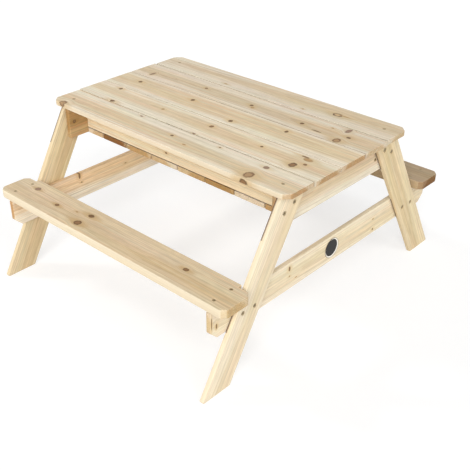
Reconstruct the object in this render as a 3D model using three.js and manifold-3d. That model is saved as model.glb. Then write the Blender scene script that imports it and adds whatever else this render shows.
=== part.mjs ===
// Children's picnic table whose top holds a sandbox under a lift-off lid.
// Lengths are millimetres, +Z is up, +X runs along the planks to the right and +Y to the rear.
// The origin lies on the floor under the middle of the table.

import * as THREE from 'three';
import { mergeVertices } from 'three/addons/utils/BufferGeometryUtils.js';
import Module from 'manifold-3d';

const wasm = await Module();
wasm.setup();

// Driving sizes of the whole table
const tableHeight = 511;
const tableLength = 940;
const footReach = 555;
const benchHeight = 287.5;

// Planed timber
const topBoardWidth = 108;
const topBoardThickness = 15;
const legWidth = 90;
const legThickness = 15;
const railHeight = 88;
const railThickness = 15;
const endBoardThickness = 15;
const sideBoardHeight = 90;
const sideBoardThickness = 15;
const slatThickness = 15;
const benchWidth = 118;
const benchThickness = 27;
const battenWidth = 40;
const battenThickness = 15;
const edgeEase = 1.5;

// Places and gaps of the top and its lid
const lidClearance = 4;
const lidSeam = 2;
const lidEndOverrun = 3.5;
const endOverhang = 29;
const legTopSetback = 16;
const endBoardSetback = 14;
const rimLedge = 10;
const battenEndClearance = 3;
const battenSideClearance = 8;

// Sandbox floor, whose end slats are cut narrower than the others
const slatCount = 8;
const firstSlatWidth = 73;
const lastSlatWidth = 79;
const slatGap = 1.6;

// Benches, cut a little longer than the top, and the notches that the slanted legs pass through
const benchEndOverrun = 1.5;
const benchLegLap = 12;
const notchClearance = 1;

// Cut and rounded corners
const topCornerCut = 20;
const benchCornerCut = 15;
const railCornerCut = 25;
const toeRadius = 4;

// Gap between pieces that lie face to face
const seatGap = 0.3;

// Countersunk wood screws
const screwHeadRadius = 4.5;
const screwHeadDepth = 2.6;
const screwRimDepth = 0.5;
const screwShankRadius = 2;
const screwTipLength = 4;
const screwSink = 0.4;
const screwTipCover = 2;
const screwEdgeBite = 25;
const boreClearance = 0.3;
const boreOverrun = 1;

// Screw places as shares of the piece that carries the head, from its inner edge or its top
const legTopScrewShares = [
  { across: 0.29, drop: 0.35 },
  { across: 0.56, drop: 0.52 },
];
const legRailScrewShares = [
  { across: 0.29, drop: 0.55 },
  { across: 0.73, drop: 0.55 },
];
const benchScrewShares = [0.28, 0.81];
const topScrewShare = 0.565;
const sideScrewShare = 0.72;

// Round badge on the right rail, with its centre slightly above the middle of the rail
const badgeRadius = 31.5;
const badgeThickness = 1.2;
const badgeRise = 2;

// Facets
const screwSides = 8;
const badgeSides = 32;
const toeSteps = 4;

// Heights
const topUnderside = tableHeight - topBoardThickness;
const seatLevel = topUnderside - seatGap;
const sideBoardBottom = seatLevel - sideBoardHeight;
const floorTop = sideBoardBottom - seatGap;
const floorBottom = floorTop - slatThickness;
const endBoardHeight = seatLevel - floorBottom;
const benchUnderside = benchHeight - benchThickness;
const railTop = benchUnderside - seatGap;

// Places along X, on the right end
const legOuterX = tableLength / 2 - endOverhang;
const legInnerX = legOuterX - legThickness;
const endBoardX = legInnerX - seatGap - endBoardThickness / 2;
const railX = legInnerX - seatGap - railThickness / 2;
const boxEndX = endBoardX - endBoardThickness / 2;
const boxLength = 2 * (boxEndX - seatGap);

// Places along Y, on the rear half
const boardPitch = topBoardWidth + lidSeam;
const lidHalfWidth = boardPitch + topBoardWidth / 2;
const lidOpeningY = lidHalfWidth + lidClearance;
const topHalfDepth = lidOpeningY + topBoardWidth;
const sideBoardY = lidOpeningY + rimLedge + sideBoardThickness / 2;
const slatLength = 2 * sideBoardY + sideBoardThickness;
const legTopReach = topHalfDepth - legTopSetback;

// Slanted legs
const legRun = footReach - legTopReach;
const legSlant = Math.atan2(legRun, seatLevel);
const legLevelWidth = legWidth / Math.cos(legSlant);
const legOuterY = (z) => footReach - (legRun * z) / seatLevel;

// Benches beside the legs
const benchInnerY = legOuterY(benchUnderside) - benchLegLap;
const benchY = benchInnerY + benchWidth / 2;
const railLength = 2 * (benchInnerY + benchWidth);
const notchDepth = benchLegLap + notchClearance;
const notchX = legInnerX - notchClearance;

// Materials
function wood(colour) {
  return new THREE.MeshStandardMaterial({ color: colour, roughness: 0.75, metalness: 0 });
}

const boardWood = wood(0xe2cba6);
const legWood = wood(0xe3c796);
const boxWood = wood(0xcfa97a);
const screwSteel = new THREE.MeshStandardMaterial({ color: 0x9a948a, roughness: 0.4, metalness: 0.9 });
const badgeEnamel = new THREE.MeshStandardMaterial({ color: 0x23282a, roughness: 0.5, metalness: 0 });

// Closed mesh to solid and back
function toSolid(geometry) {
  const bare = geometry.clone();
  bare.deleteAttribute('normal');
  bare.deleteAttribute('uv');
  const merged = mergeVertices(bare);
  return new wasm.Manifold(new wasm.Mesh({
    numProp: 3,
    vertProperties: merged.attributes.position.array,
    triVerts: merged.index.array,
  }));
}

function toGeometry(solid) {
  const mesh = solid.getMesh();
  const geometry = new THREE.BufferGeometry();
  geometry.setAttribute('position', new THREE.BufferAttribute(mesh.vertProperties, 3));
  geometry.setIndex(new THREE.BufferAttribute(mesh.triVerts, 1));
  return geometry;
}

// Plank from its outline, centred on its mid-plane, with all long edges eased
function plank(shape, thickness) {
  const geometry = new THREE.ExtrudeGeometry(shape, {
    depth: thickness - 2 * edgeEase,
    bevelThickness: edgeEase,
    bevelSize: edgeEase,
    bevelOffset: -edgeEase,
    bevelSegments: 1,
    curveSegments: toeSteps,
  });
  return geometry.translate(0, 0, edgeEase - thickness / 2);
}

function outlineOf(points) {
  return new THREE.Shape(points.map(([x, y]) => new THREE.Vector2(x, y)));
}

// Rectangle whose corners are cut at 45 degrees: front left, front right, rear right, rear left
function cutRectangle(length, width, cuts) {
  const signs = [[-1, -1], [1, -1], [1, 1], [-1, 1]];
  const corners = signs.map(([sx, sy], i) => {
    const onEnd = [sx * length / 2, sy * (width / 2 - cuts[i])];
    const onSide = [sx * (length / 2 - cuts[i]), sy * width / 2];
    if (cuts[i] === 0) return [onEnd];
    return sx * sy > 0 ? [onEnd, onSide] : [onSide, onEnd];
  });
  return outlineOf(corners.flat());
}

// Bench: four cut corners, and a notch at each end of its leg side, which is local +Y
function benchOutline() {
  const endX = tableLength / 2 + benchEndOverrun;
  const cut = benchCornerCut;
  const outerY = -benchWidth / 2;
  const innerY = benchWidth / 2;
  const notchY = innerY - notchDepth;
  const right = [
    [endX - cut, outerY],
    [endX, outerY + cut],
    [endX, notchY - cut],
    [endX - cut, notchY],
    [notchX, notchY],
    [notchX, innerY],
  ];
  const left = right.map(([x, y]) => [-x, y]).reverse();
  return outlineOf([...right, ...left]);
}

// Leg seen along X, in table Y and Z: slanted, cut level at the sole and the top, with a rounded toe
function legOutline(side) {
  const toeAngle = Math.PI / 2 - legSlant;
  const toeCut = toeRadius / Math.tan(toeAngle / 2);
  const toeRiseY = toeCut * Math.sin(legSlant);
  const toeRiseZ = toeCut * Math.cos(legSlant);
  const shape = new THREE.Shape();
  shape.moveTo(side * (footReach - legLevelWidth), 0);
  shape.lineTo(side * (footReach - toeCut), 0);
  shape.quadraticCurveTo(side * footReach, 0, side * (footReach - toeRiseY), toeRiseZ);
  shape.lineTo(side * legTopReach, seatLevel);
  shape.lineTo(side * (legTopReach - legLevelWidth), seatLevel);
  shape.closePath();
  return shape;
}

// Screw profile along its axis, head face at 0, grown by a clearance for the bore that takes it
function screwProfile(length, clearance, above) {
  const head = screwHeadRadius + clearance;
  const shank = screwShankRadius + clearance;
  return [
    [0, -length - clearance],
    [shank, -length - clearance + screwTipLength],
    [shank, -screwHeadDepth],
    [head, -screwRimDepth - clearance],
    [head, above],
    [0, above],
  ].map(([r, z]) => new THREE.Vector2(r, z));
}

function turned(profile, sides) {
  return new THREE.LatheGeometry(profile, sides).rotateX(Math.PI / 2);
}

const screws = [];
const boards = [];

function addBoard(parent, name, geometry, material, position, rotation = [0, 0, 0]) {
  const mesh = new THREE.Mesh(geometry, material);
  mesh.name = name;
  mesh.position.set(...position);
  mesh.rotation.set(...rotation);
  parent.add(mesh);
  boards.push(mesh);
}

// Screw whose head lies just under a face at the given place; its local +Z points out of the face
function addScrew(parent, name, length, place, rotation = [0, 0, 0]) {
  const mesh = new THREE.Mesh(turned(screwProfile(length, 0, 0), screwSides), screwSteel);
  mesh.name = name;
  mesh.userData.length = length;
  mesh.position.set(...place);
  mesh.rotation.set(...rotation);
  mesh.translateZ(-screwSink);
  parent.add(mesh);
  screws.push(mesh);
}

const facingRight = [0, Math.PI / 2, 0];
const planeAcross = [Math.PI / 2, Math.PI / 2, 0];
const planeAlong = [Math.PI / 2, 0, 0];

// Fixed boards of the top, front and rear
function topBoards() {
  const group = new THREE.Group();
  const z = tableHeight - topBoardThickness / 2;
  for (const [name, side] of [['front', -1], ['rear', 1]]) {
    const half = new THREE.Group();
    half.rotation.z = side < 0 ? 0 : Math.PI;
    const y = -lidOpeningY - topBoardWidth / 2;
    const shape = cutRectangle(tableLength, topBoardWidth, [topCornerCut, topCornerCut, 0, 0]);
    addBoard(half, `top_board_${name}`, plank(shape, topBoardThickness), boardWood, [0, y, z]);
    const screwY = -lidOpeningY - topBoardWidth * topScrewShare;
    for (const [end, sx] of [['left', side], ['right', -side]]) {
      const length = topBoardThickness + screwEdgeBite;
      addScrew(half, `top_board_${name}_screw_${end}`, length, [sx * endBoardX, screwY, tableHeight]);
    }
    group.add(half);
  }
  return group;
}

// Lid: three boards on two battens
function lid() {
  const group = new THREE.Group();
  const z = tableHeight - topBoardThickness / 2;
  const length = tableLength + 2 * lidEndOverrun;
  const shape = cutRectangle(length, topBoardWidth, [0, 0, 0, 0]);
  for (const [name, place] of [['front', -1], ['middle', 0], ['rear', 1]]) {
    const y = place * boardPitch;
    addBoard(group, `lid_board_${name}`, plank(shape, topBoardThickness), boardWood, [0, y, z]);
  }
  const battenLength = 2 * (lidOpeningY - battenSideClearance);
  const battenShape = cutRectangle(battenWidth, battenLength, [0, 0, 0, 0]);
  const battenX = boxEndX - battenEndClearance - battenWidth / 2;
  const battenZ = seatLevel - battenThickness / 2;
  for (const [name, side] of [['left', -1], ['right', 1]]) {
    const place = [side * battenX, 0, battenZ];
    addBoard(group, `lid_batten_${name}`, plank(battenShape, battenThickness), boardWood, place);
  }
  return group;
}

// Widths of the floor slats from left to right; those between the end slats share what is left alike
function slatWidths() {
  const gaps = (slatCount - 1) * slatGap;
  const inner = slatCount - 2;
  const width = (boxLength - firstSlatWidth - lastSlatWidth - gaps) / inner;
  return [firstSlatWidth, ...Array(inner).fill(width), lastSlatWidth];
}

// Sandbox: front and rear side boards, and floor slats under them
function sandbox() {
  const group = new THREE.Group();
  const sideShape = cutRectangle(boxLength, sideBoardHeight, [0, 0, 0, 0]);
  const sideZ = seatLevel - sideBoardHeight / 2;
  for (const [name, side] of [['front', -1], ['rear', 1]]) {
    const geometry = plank(sideShape, sideBoardThickness);
    addBoard(group, `sandbox_side_${name}`, geometry, boxWood, [0, side * sideBoardY, sideZ], planeAlong);
  }
  let left = -boxLength / 2;
  slatWidths().forEach((width, i) => {
    const shape = cutRectangle(width, slatLength, [0, 0, 0, 0]);
    const place = [left + width / 2, 0, floorTop - slatThickness / 2];
    addBoard(group, `floor_slat_${i + 1}`, plank(shape, slatThickness), boxWood, place);
    left += width + slatGap;
  });
  return group;
}

// End frame: end board, lower rail and two legs, built on the right and turned round for the left
function endFrame(name) {
  const group = new THREE.Group();
  const turnedRound = name === 'left';
  group.rotation.z = turnedRound ? Math.PI : 0;
  const endLength = 2 * (topHalfDepth - endBoardSetback);
  const endShape = cutRectangle(endLength, endBoardHeight, [0, 0, 0, 0]);
  const endPlace = [endBoardX, 0, seatLevel - endBoardHeight / 2];
  addBoard(group, `end_board_${name}`, plank(endShape, endBoardThickness), boxWood, endPlace, planeAcross);
  const railShape = cutRectangle(railLength, railHeight, [railCornerCut, railCornerCut, 0, 0]);
  const railPlace = [railX, 0, railTop - railHeight / 2];
  addBoard(group, `lower_rail_${name}`, plank(railShape, railThickness), legWood, railPlace, planeAcross);
  for (const side of [-1, 1]) {
    const half = (side < 0) === turnedRound ? 'rear' : 'front';
    const legPlace = [legInnerX + legThickness / 2, 0, 0];
    const leg = `leg_${half}_${name}`;
    addBoard(group, leg, plank(legOutline(side), legThickness), legWood, legPlace, planeAcross);
    addLegScrews(group, leg, side);
    addSideScrew(group, `sandbox_side_${half}_screw_${name}`, side);
  }
  return group;
}

// Two screws into the end board and two into the rail, all through one leg
function addLegScrews(group, leg, side) {
  const endScrews = legTopScrewShares.map(({ across, drop }) => (
    { across, z: seatLevel - drop * endBoardHeight, thickness: endBoardThickness }
  ));
  const railScrews = legRailScrewShares.map(({ across, drop }) => (
    { across, z: railTop - drop * railHeight, thickness: railThickness }
  ));
  [...endScrews, ...railScrews].forEach(({ across, z, thickness }, i) => {
    const y = side * (legOuterY(z) - (1 - across) * legLevelWidth);
    const length = legThickness + seatGap + thickness - screwTipCover;
    addScrew(group, `${leg}_screw_${i + 1}`, length, [legOuterX, y, z], facingRight);
  });
}

// Screw through the end board into the end of a sandbox side board
function addSideScrew(group, name, side) {
  const faceX = endBoardX + endBoardThickness / 2;
  const z = seatLevel - sideScrewShare * sideBoardHeight;
  addScrew(group, name, endBoardThickness + screwEdgeBite, [faceX, side * sideBoardY, z], facingRight);
}

// Bench with two screws into the rail at each end, built at the front and turned round for the rear
function bench(name) {
  const group = new THREE.Group();
  const atRear = name === 'rear';
  group.rotation.z = atRear ? Math.PI : 0;
  const place = [0, -benchY, benchUnderside + benchThickness / 2];
  addBoard(group, `bench_${name}`, plank(benchOutline(), benchThickness), boardWood, place);
  const length = benchThickness + screwEdgeBite;
  let count = 0;
  for (const side of [-1, 1]) {
    for (const share of benchScrewShares) {
      count += 1;
      const y = -benchInnerY - share * benchWidth;
      addScrew(group, `bench_${name}_screw_${count}`, length, [side * railX, y, benchHeight]);
    }
  }
  return group;
}

// Plain round badge on the outer face of the right rail
function badge() {
  const geometry = new THREE.CylinderGeometry(badgeRadius, badgeRadius, badgeThickness, badgeSides);
  const mesh = new THREE.Mesh(geometry, badgeEnamel);
  mesh.name = 'badge';
  mesh.rotation.z = Math.PI / 2;
  const faceX = railX + railThickness / 2;
  mesh.position.set(faceX + seatGap + badgeThickness / 2, 0, railTop - railHeight / 2 + badgeRise);
  return mesh;
}

// Bores for every screw in every board that it meets
function drillBoards() {
  const boxOf = (mesh) => new THREE.Box3().setFromObject(mesh);
  for (const board of boards) {
    const boardBox = boxOf(board);
    const met = screws.filter((screw) => boxOf(screw).intersectsBox(boardBox));
    if (met.length === 0) continue;
    let solid = toSolid(board.geometry);
    for (const screw of met) {
      const profile = screwProfile(screw.userData.length, boreClearance, boreOverrun);
      const place = board.matrixWorld.clone().invert().multiply(screw.matrixWorld);
      solid = solid.subtract(toSolid(turned(profile, screwSides).applyMatrix4(place)));
    }
    board.geometry = toGeometry(solid);
  }
}

const group = new THREE.Group();
group.name = 'picnic_table_with_sandbox';
group.add(topBoards(), lid(), sandbox(), endFrame('left'), endFrame('right'));
group.add(bench('front'), bench('rear'), badge());
group.updateMatrixWorld(true);
drillBoards();

export default group;
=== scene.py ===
"""Scene of a low wooden picnic table whose top covers a shallow sandbox.

Every board is modelled with eased edges and bored for its screws, and has its own piece of pine, with
its rings, fibres and knots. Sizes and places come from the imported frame. Lengths in the code are metres
unless a name or a comment says millimetres, and MM turns one into the other.
"""

import logging
import math
import random
from collections.abc import Sequence
from dataclasses import dataclass
from enum import Enum

import bmesh
import bpy
from mathutils import Matrix, Vector

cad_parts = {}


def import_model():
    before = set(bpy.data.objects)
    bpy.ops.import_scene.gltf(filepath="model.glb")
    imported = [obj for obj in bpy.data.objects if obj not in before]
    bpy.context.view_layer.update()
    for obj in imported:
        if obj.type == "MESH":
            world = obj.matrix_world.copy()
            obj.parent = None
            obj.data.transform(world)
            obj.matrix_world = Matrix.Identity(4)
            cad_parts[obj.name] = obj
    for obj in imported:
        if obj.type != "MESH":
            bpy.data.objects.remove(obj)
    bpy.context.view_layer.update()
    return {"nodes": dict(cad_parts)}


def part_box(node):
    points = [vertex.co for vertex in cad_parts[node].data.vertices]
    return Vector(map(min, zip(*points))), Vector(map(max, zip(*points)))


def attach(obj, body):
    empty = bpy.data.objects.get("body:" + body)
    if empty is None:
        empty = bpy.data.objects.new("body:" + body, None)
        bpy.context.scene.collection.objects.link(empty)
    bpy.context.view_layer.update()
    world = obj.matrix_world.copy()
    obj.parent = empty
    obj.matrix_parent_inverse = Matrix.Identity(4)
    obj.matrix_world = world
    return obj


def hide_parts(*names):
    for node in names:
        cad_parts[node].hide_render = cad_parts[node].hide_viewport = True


LOG = logging.getLogger("picnic_table")
MM = 0.001
PICTURE_WIDTH = 470
ALONG_X = Vector((1, 0, 0))
ALONG_Y = Vector((0, 1, 0))
ALONG_Z = Vector((0, 0, 1))


class Half(Enum):
    """Front or rear half of the table, as the sign of Y."""

    FRONT = -1
    REAR = 1

    @property
    def label(self) -> str:
        """Word for this half in the names of the pieces."""
        return self.name.lower()


class End(Enum):
    """Left or right end of the table, as the sign of X."""

    LEFT = -1
    RIGHT = 1

    @property
    def label(self) -> str:
        """Word for this end in the names of the pieces."""
        return self.name.lower()


def linear(code: str) -> tuple[float, float, float, float]:
    """Turn an sRGB hex colour into linear light.

    Args:
        code: Colour as "#RRGGBB".

    Returns:
        Linear red, green, blue and an alpha of 1.
    """
    parts = [int(code[i : i + 2], 16) / 255 for i in (1, 3, 5)]
    red, green, blue = (p / 12.92 if p <= 0.04045 else ((p + 0.055) / 1.055) ** 2.4 for p in parts)
    return red, green, blue, 1.0


def clear_tree(owner: bpy.types.ID) -> bpy.types.NodeTree:
    """Switch a material or a world to nodes.

    Args:
        owner: The material or world.

    Returns:
        Its node tree, emptied.
    """
    owner.use_nodes = True
    owner.node_tree.nodes.clear()
    return owner.node_tree


def add_node(
    tree: bpy.types.NodeTree, kind: str, inputs: dict | None = None, **settings: object
) -> bpy.types.Node:
    """Add a node with its settings and links.

    Args:
        tree: Node tree that takes the node.
        kind: Blender's name for the type of node.
        inputs: Values, nodes or output sockets, by the name or the index of the enabled input.
        **settings: Properties of the node, set before its inputs.

    Returns:
        The new node.
    """
    node = tree.nodes.new(kind)
    for name, value in settings.items():
        setattr(node, name, value)
    sockets = [s for s in node.inputs if s.enabled]
    for key, value in (inputs or {}).items():
        socket = sockets[key] if isinstance(key, int) else next(s for s in sockets if s.name == key)
        if isinstance(value, bpy.types.Node):
            value = next(s for s in value.outputs if s.enabled)
        if isinstance(value, bpy.types.NodeSocket):
            tree.links.new(value, socket)
        else:
            socket.default_value = value
    return node


@dataclass(frozen=True)
class KnotLook:
    """Colours and strengths of one kind of knot.

    Attributes:
        core: Colour inside the knot.
        rim: Colour of the bark line round it.
        rim_strength: How clearly the bark line shows.
        halo_strength: How strongly the wood round the knot is tinted.
        halo_reach: How far the tint reaches, in knot radii.
    """

    core: str
    rim: str
    rim_strength: float
    halo_strength: float
    halo_reach: float


class KnotKind(Enum):
    """Kinds of knot that the boards show."""

    PIN = KnotLook("#745739", "#503A25", 0.6, 0.7, 3.4)
    TIGHT = KnotLook("#8C6A48", "#5A412A", 0.8, 0.75, 3.0)
    RING = KnotLook("#A98964", "#6A4C31", 0.8, 0.75, 3.0)
    EYE = KnotLook("#C3A67F", "#59402B", 1.0, 0.6, 2.6)
    PALE = KnotLook("#B28F63", "#8C6A45", 0.5, 0.6, 3.0)
    BRUISE = KnotLook("#967B66", "#745C4C", 0.6, 0.5, 2.6)


@dataclass(frozen=True)
class Knot:
    """Branch that shows on a board, all sizes in millimetres.

    Attributes:
        along: Place along the grain from the middle of the board.
        across: Place across the board from its middle.
        half_length: Half its size along the grain.
        half_width: Half its size across the grain.
        kind: How it looks.
        depth: How far it reaches down from its own level, or 0 where it runs through the board.
        level: Height of its middle over the middle of the board's thickness.
    """

    along: float
    across: float
    half_length: float
    half_width: float
    kind: KnotKind = KnotKind.PIN
    depth: float = 0.0
    level: float = 0.0


def scattered_knots(seed: int, length: float, width: float, count: int) -> tuple[Knot, ...]:
    """Place knots at random on a board.

    Args:
        seed: Start of the random draws.
        length: Length of the board in millimetres.
        width: Width of the board in millimetres.
        count: Number of knots.

    Returns:
        The knots, the same for the same seed.
    """
    draw = random.Random(seed)
    kinds = list(KnotKind)
    knots = []
    for _ in range(count):
        half_width = draw.uniform(2.2, 5.5)
        knots.append(
            Knot(
                along=draw.uniform(-0.44, 0.44) * length,
                across=draw.uniform(-0.38, 0.38) * width,
                half_length=half_width * draw.uniform(0.8, 1.4),
                half_width=half_width,
                kind=draw.choice(kinds),
            )
        )
    return tuple(knots)


@dataclass(frozen=True)
class Tones:
    """Colours of one cut of pine.

    Attributes:
        sapwood: Outer wood of the tree, the palest.
        heartwood: Inner wood.
        latewood: Dark side of each growth ring.
        rosy: Warm streaks.
        grey: Cool streaks.
        edge: Pale sapwood on the sawn edges, partly a painted highlight for the strong light on them.
        resin: Resin-soaked wood round the knots.
        end_grain: Tint that multiplies the heartwood of the sawn ends.
        grime: Painted shade with some dust on the edges inside a seam, where shade falls in the gap.
    """

    sapwood: str
    heartwood: str
    latewood: str
    rosy: str
    grey: str
    edge: str
    resin: str
    end_grain: str
    # Painted shade with some dust, for the edges inside a seam
    grime: str = "#6E5438"


class Stock(Enum):
    """Cuts of pine that the table is made of."""

    TABLETOP = Tones(
        "#EADFC9", "#DAC5A2", "#AD8A60", "#E0C29E", "#DBD2B8", "#E0CFB2", "#CDB184", "#D2BBA1"
    )
    DULL_TOP = Tones(
        "#E3D8C3", "#D1BC9B", "#A3825B", "#D8BA97", "#D2C9B0", "#D8C7AB", "#C2A77C", "#F0EAE0"
    )
    SEAT = Tones(
        "#DBC9AA", "#CFB68D", "#A6835A", "#D2B28A", "#CFC1A3", "#F0E3C8", "#BD9C6C", "#F2EADC"
    )
    # Darker, greyer seat wood of the rear bench, partly painted shade of the table over it
    DULL_SEAT = Tones(
        "#AC977A", "#9E8566", "#7D6242", "#A28468", "#9D9178", "#B09771", "#8F744C", "#C8A982"
    )
    FRAME = Tones(
        "#EFE1C6", "#E4D2B0", "#C4A271", "#E7CDA8", "#E4D8BC", "#E3D1B2", "#D6BA86", "#E8DDD0"
    )
    TAN_FRAME = Tones(
        "#E2D0AC", "#D5BE94", "#B49162", "#DBBE94", "#D7C8A5", "#DCC8A2", "#C6A774", "#E6DACA"
    )
    ROSY_FRAME = Tones(
        "#F9EEDA", "#EDCFA6", "#BE9062", "#EDCBA2", "#E8DABC", "#E4CEA8", "#D5AD78", "#D2BA9C"
    )
    # BOX has a browner colour for the painted shade with dust in the joint over the slats
    BOX = Tones(
        "#F9EFDC", "#ECD6B0", "#C49C6C", "#EDD2AA", "#E6DCC0", "#F2E4C8", "#D6B482", "#DDD0C0", "#6E3C10"
    )
    AMBER = Tones(
        "#D0B080", "#B9945F", "#8E6537", "#BE9160", "#B79F6E", "#D2B68A", "#9F7A46", "#F2EEEA"
    )
    HONEY = Tones(
        "#EBD8B4", "#DDBF90", "#AE8452", "#DDB484", "#D3C29C", "#C9A878", "#C49E66", "#DDD0BE"
    )
    BROWN = Tones(
        "#E6D0AC", "#B18D68", "#7F5E3F", "#B98B62", "#A98F6E", "#A8845C", "#9A7448", "#CDB599"
    )


@dataclass(frozen=True)
class Contact:
    """Stretch where a board lies against another one, with painted shade, dust and resin in the corner.

    Attributes:
        start: Where it starts along the board's X, from its middle, in millimetres.
        end: Where it ends.
        side: 1 for painted shade on the front of the board, -1 for painted shade on its rear arrises.
        dirt: Share of the painted shade with dust.
    """

    start: float
    end: float
    side: int = -1
    dirt: float = 1.0


@dataclass(frozen=True)
class PineFinish:
    """Planed, unfinished pine: matt and pale, with long streaks where the saw met the growth rings.

    Attributes:
        stock: Colours of the cut.
        seed: Shifts every random pattern, so that no two boards match.
        pith_across: Middle of the tree from the middle of the board, across it, in millimetres.
        pith_below: Middle of the tree under the middle of the board's thickness, in millimetres.
        heart_half: Half the width of the heartwood on the broad face, in millimetres.
        drift: Turn between the grain and the board's length, in degrees.
        ring_width: Width of a growth ring in millimetres.
        contrast: Strength of the latewood lines.
        streaks: Strength of the warm and cool streaks.
        slant: Angle of the grain from the piece's own X, in degrees.
        seams: Share of dust and painted shade on the edge at low Y and on the edge at high Y, for edges
            inside a seam.
        contacts: Stretches where the board lies against others.
        gleam: Specular level of the planed faces.
        knots: Knots of the board.
    """

    stock: Stock = Stock.FRAME
    seed: int = 1
    pith_across: float = 0.0
    pith_below: float = 40.0
    heart_half: float = 26.0
    drift: float = 0.4
    ring_width: float = 4.5
    contrast: float = 0.42
    streaks: float = 0.8
    slant: float = 0.0
    seams: tuple[float, float] = (0.0, 0.0)
    contacts: tuple[Contact, ...] = ()
    gleam: float = 0.3
    knots: tuple[Knot, ...] = ()

    # Lengths and widths of the patterns in the wood, all in millimetres. Growth wanders by some
    # millimetres over a few hundred, which gives the long flames, and each ring wavers a little.
    WANDER = 5.0
    WANDER_SIZE = (340.0, 80.0)
    WAVER_SIZE = (60.0, 6.0)
    # Wood fibres are some hundredths of a millimetre wide; they are drawn a millimetre wide to show
    FIBRE_SIZE = (70.0, 1.1)
    # Lines of single years, and bands of a few years
    LINE_SIZE = (260.0, 2.8)
    STREAK_SIZE = (620.0, 6.5)
    # Clouds of darker and paler wood, and short ripples where the grain rises and falls
    CLOUD_SIZE = (220.0, 38.0)
    RIPPLE_SIZE = (38.0, 11.0)
    # Ragged outlines and bark patches of the knots, and mottled end grain
    RAGGED_SIZE = (8.0, 7.0)
    BARK_SIZE = (5.0, 5.0)
    MOTTLE_SIZE = (7.0, 7.0)
    # Range that holds nearly all values of a random pattern
    PATTERN_RANGE = (0.3, 0.7)
    # How much the fine lines, the fibres and the ripples darken and brighten the wood
    LINE_SHADES = (0.84, 1.11)
    FIBRE_SHADES = (0.93, 1.05)
    RIPPLE_SHADES = (0.95, 1.045)
    # The clouds multiply red, green and blue by these, and by up to so much more
    CLOUD_LEAST = (0.955, 0.96, 0.935)
    CLOUD_SPREAD = (0.09, 0.08, 0.13)
    # Parts of the streak pattern that are warm and cool: no tint at the first value, full at the second
    WARM_RANGE = (0.5, 0.72)
    COOL_RANGE = (0.5, 0.3)
    # Half the thickness of most boards
    FACE_LEVEL = 7.5
    # Outer and inner side of the border of the heartwood, and how far the streaks push it to and fro
    BORDER = (7.0, -4.0)
    BORDER_SWING = 24.0
    # The tint round a knot reaches further along the grain than across it
    TAIL = 2.2
    # How ragged the outlines of the knots and of the tint are, in knot sizes
    KNOT_RAGGED = 0.5
    TINT_RAGGED = 0.9
    # The tint is full within this distance, and the core ends and is full at these, in knot sizes
    TINT_FULL = 0.9
    CORE_EDGE = (1.15, 0.8)
    # Place of the bark line, how far from there it ends and is full, and how much patches break it up
    BARK_PLACE = 0.95
    BARK_EDGE = (0.55, 0.2)
    BARK_PATCHES = 0.35
    # How far the grain is led round a knot, and the distances in knot sizes between which that fades
    BEND = 0.8
    BEND_RANGE = (0.4, 4.0)
    # Share of the edge colour on the long sawn edges, pale sapwood that is partly a painted highlight
    EDGE_SHARE = 0.6
    # How far the wood faces a side, as a cosine, where each of its dust and painted shade, pale edge and
    # end grain starts and is full
    GRIME_TURN = (0.2, 0.6)
    EDGE_TURN = (0.4, 0.85)
    END_TURN = (0.45, 0.85)
    # End grain is stained by its mottles and its heartwood, from the least share of the tint to all of it
    MOTTLE_WEIGHT = 2.0
    STAIN_RANGE = (0.7, 2.1)
    STAIN_LEAST = 0.6
    # Share of the strength of the latewood in the faintest year, and how late in a year it darkens
    FAINT_YEAR = 0.25
    LATE_SEASON = 2.6
    # Steps between the random patterns of two seeds along the three axes, and between their years
    SEED_STEPS = (131.0, 57.0, 23.0)
    SEED_YEARS = 17.0
    # Painted shade of the corner between two boards, with resin and dust, and the turn toward it where they
    # are thick
    CORNER_DIRT = "#4E2A06"
    DIRT_ONSET = 0.04
    # Roughness of the planed faces and of the ends
    ROUGHNESS = (0.62, 0.85)
    # Height of the raised grain in millimetres, its strength, and the weight of the latewood in it
    RELIEF = 0.15
    RELIEF_STRENGTH = 0.35
    LATE_RELIEF = 0.8

    def material(self, name: str) -> bpy.types.Material:
        """Build the material of one board.

        Args:
            name: Name of the board.

        Returns:
            A material that reads the board's own coordinates.
        """
        material = bpy.data.materials.new(f"planed_pine_{name}")
        tree = clear_tree(material)
        coords = add_node(tree, "ShaderNodeTexCoord")
        place = add_node(
            tree, "ShaderNodeVectorMath", {0: coords.outputs["Object"], "Scale": 1 / MM}, operation="SCALE"
        )
        upright = (0, 0, -math.radians(self.slant))
        place = add_node(tree, "ShaderNodeMapping", {"Vector": place, "Rotation": upright})
        bent, reaches = self._bend_round_knots(tree, place)
        shift = tuple(self.seed * step for step in self.SEED_STEPS)
        seeded = add_node(tree, "ShaderNodeVectorMath", {0: bent, 1: shift})
        radius = self._tree_radius(tree, bent, seeded)
        late = self._latewood(tree, radius, seeded)
        fibre = self._pattern(tree, seeded, self.FIBRE_SIZE, 3.0)
        tone, heart = self._clear_wood(tree, radius, seeded)
        tone = self._lines(tree, tone, late, fibre, seeded)
        tone, end = self._sawn_faces(tree, coords, tone, heart, place)
        tone = self._draw_knots(tree, tone, reaches, place)
        self._surface(tree, tone, late, fibre, end)
        return material

    def _pattern(
        self, tree: bpy.types.NodeTree, place: bpy.types.Node, size: tuple[float, float], detail: float
    ) -> bpy.types.Node:
        """Give a random pattern drawn out along the grain.

        Args:
            tree: Node tree of the material.
            place: Node that gives the place in millimetres.
            size: Length and width of the pattern in millimetres.
            detail: Octaves of the pattern.

        Returns:
            Node that gives the pattern.
        """
        length, width = size
        scale = (1 / length, 1 / width, 1 / width)
        stretched = add_node(tree, "ShaderNodeMapping", {"Vector": place, "Scale": scale})
        return add_node(tree, "ShaderNodeTexNoise", {"Vector": stretched, "Scale": 1.0, "Detail": detail})

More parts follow.
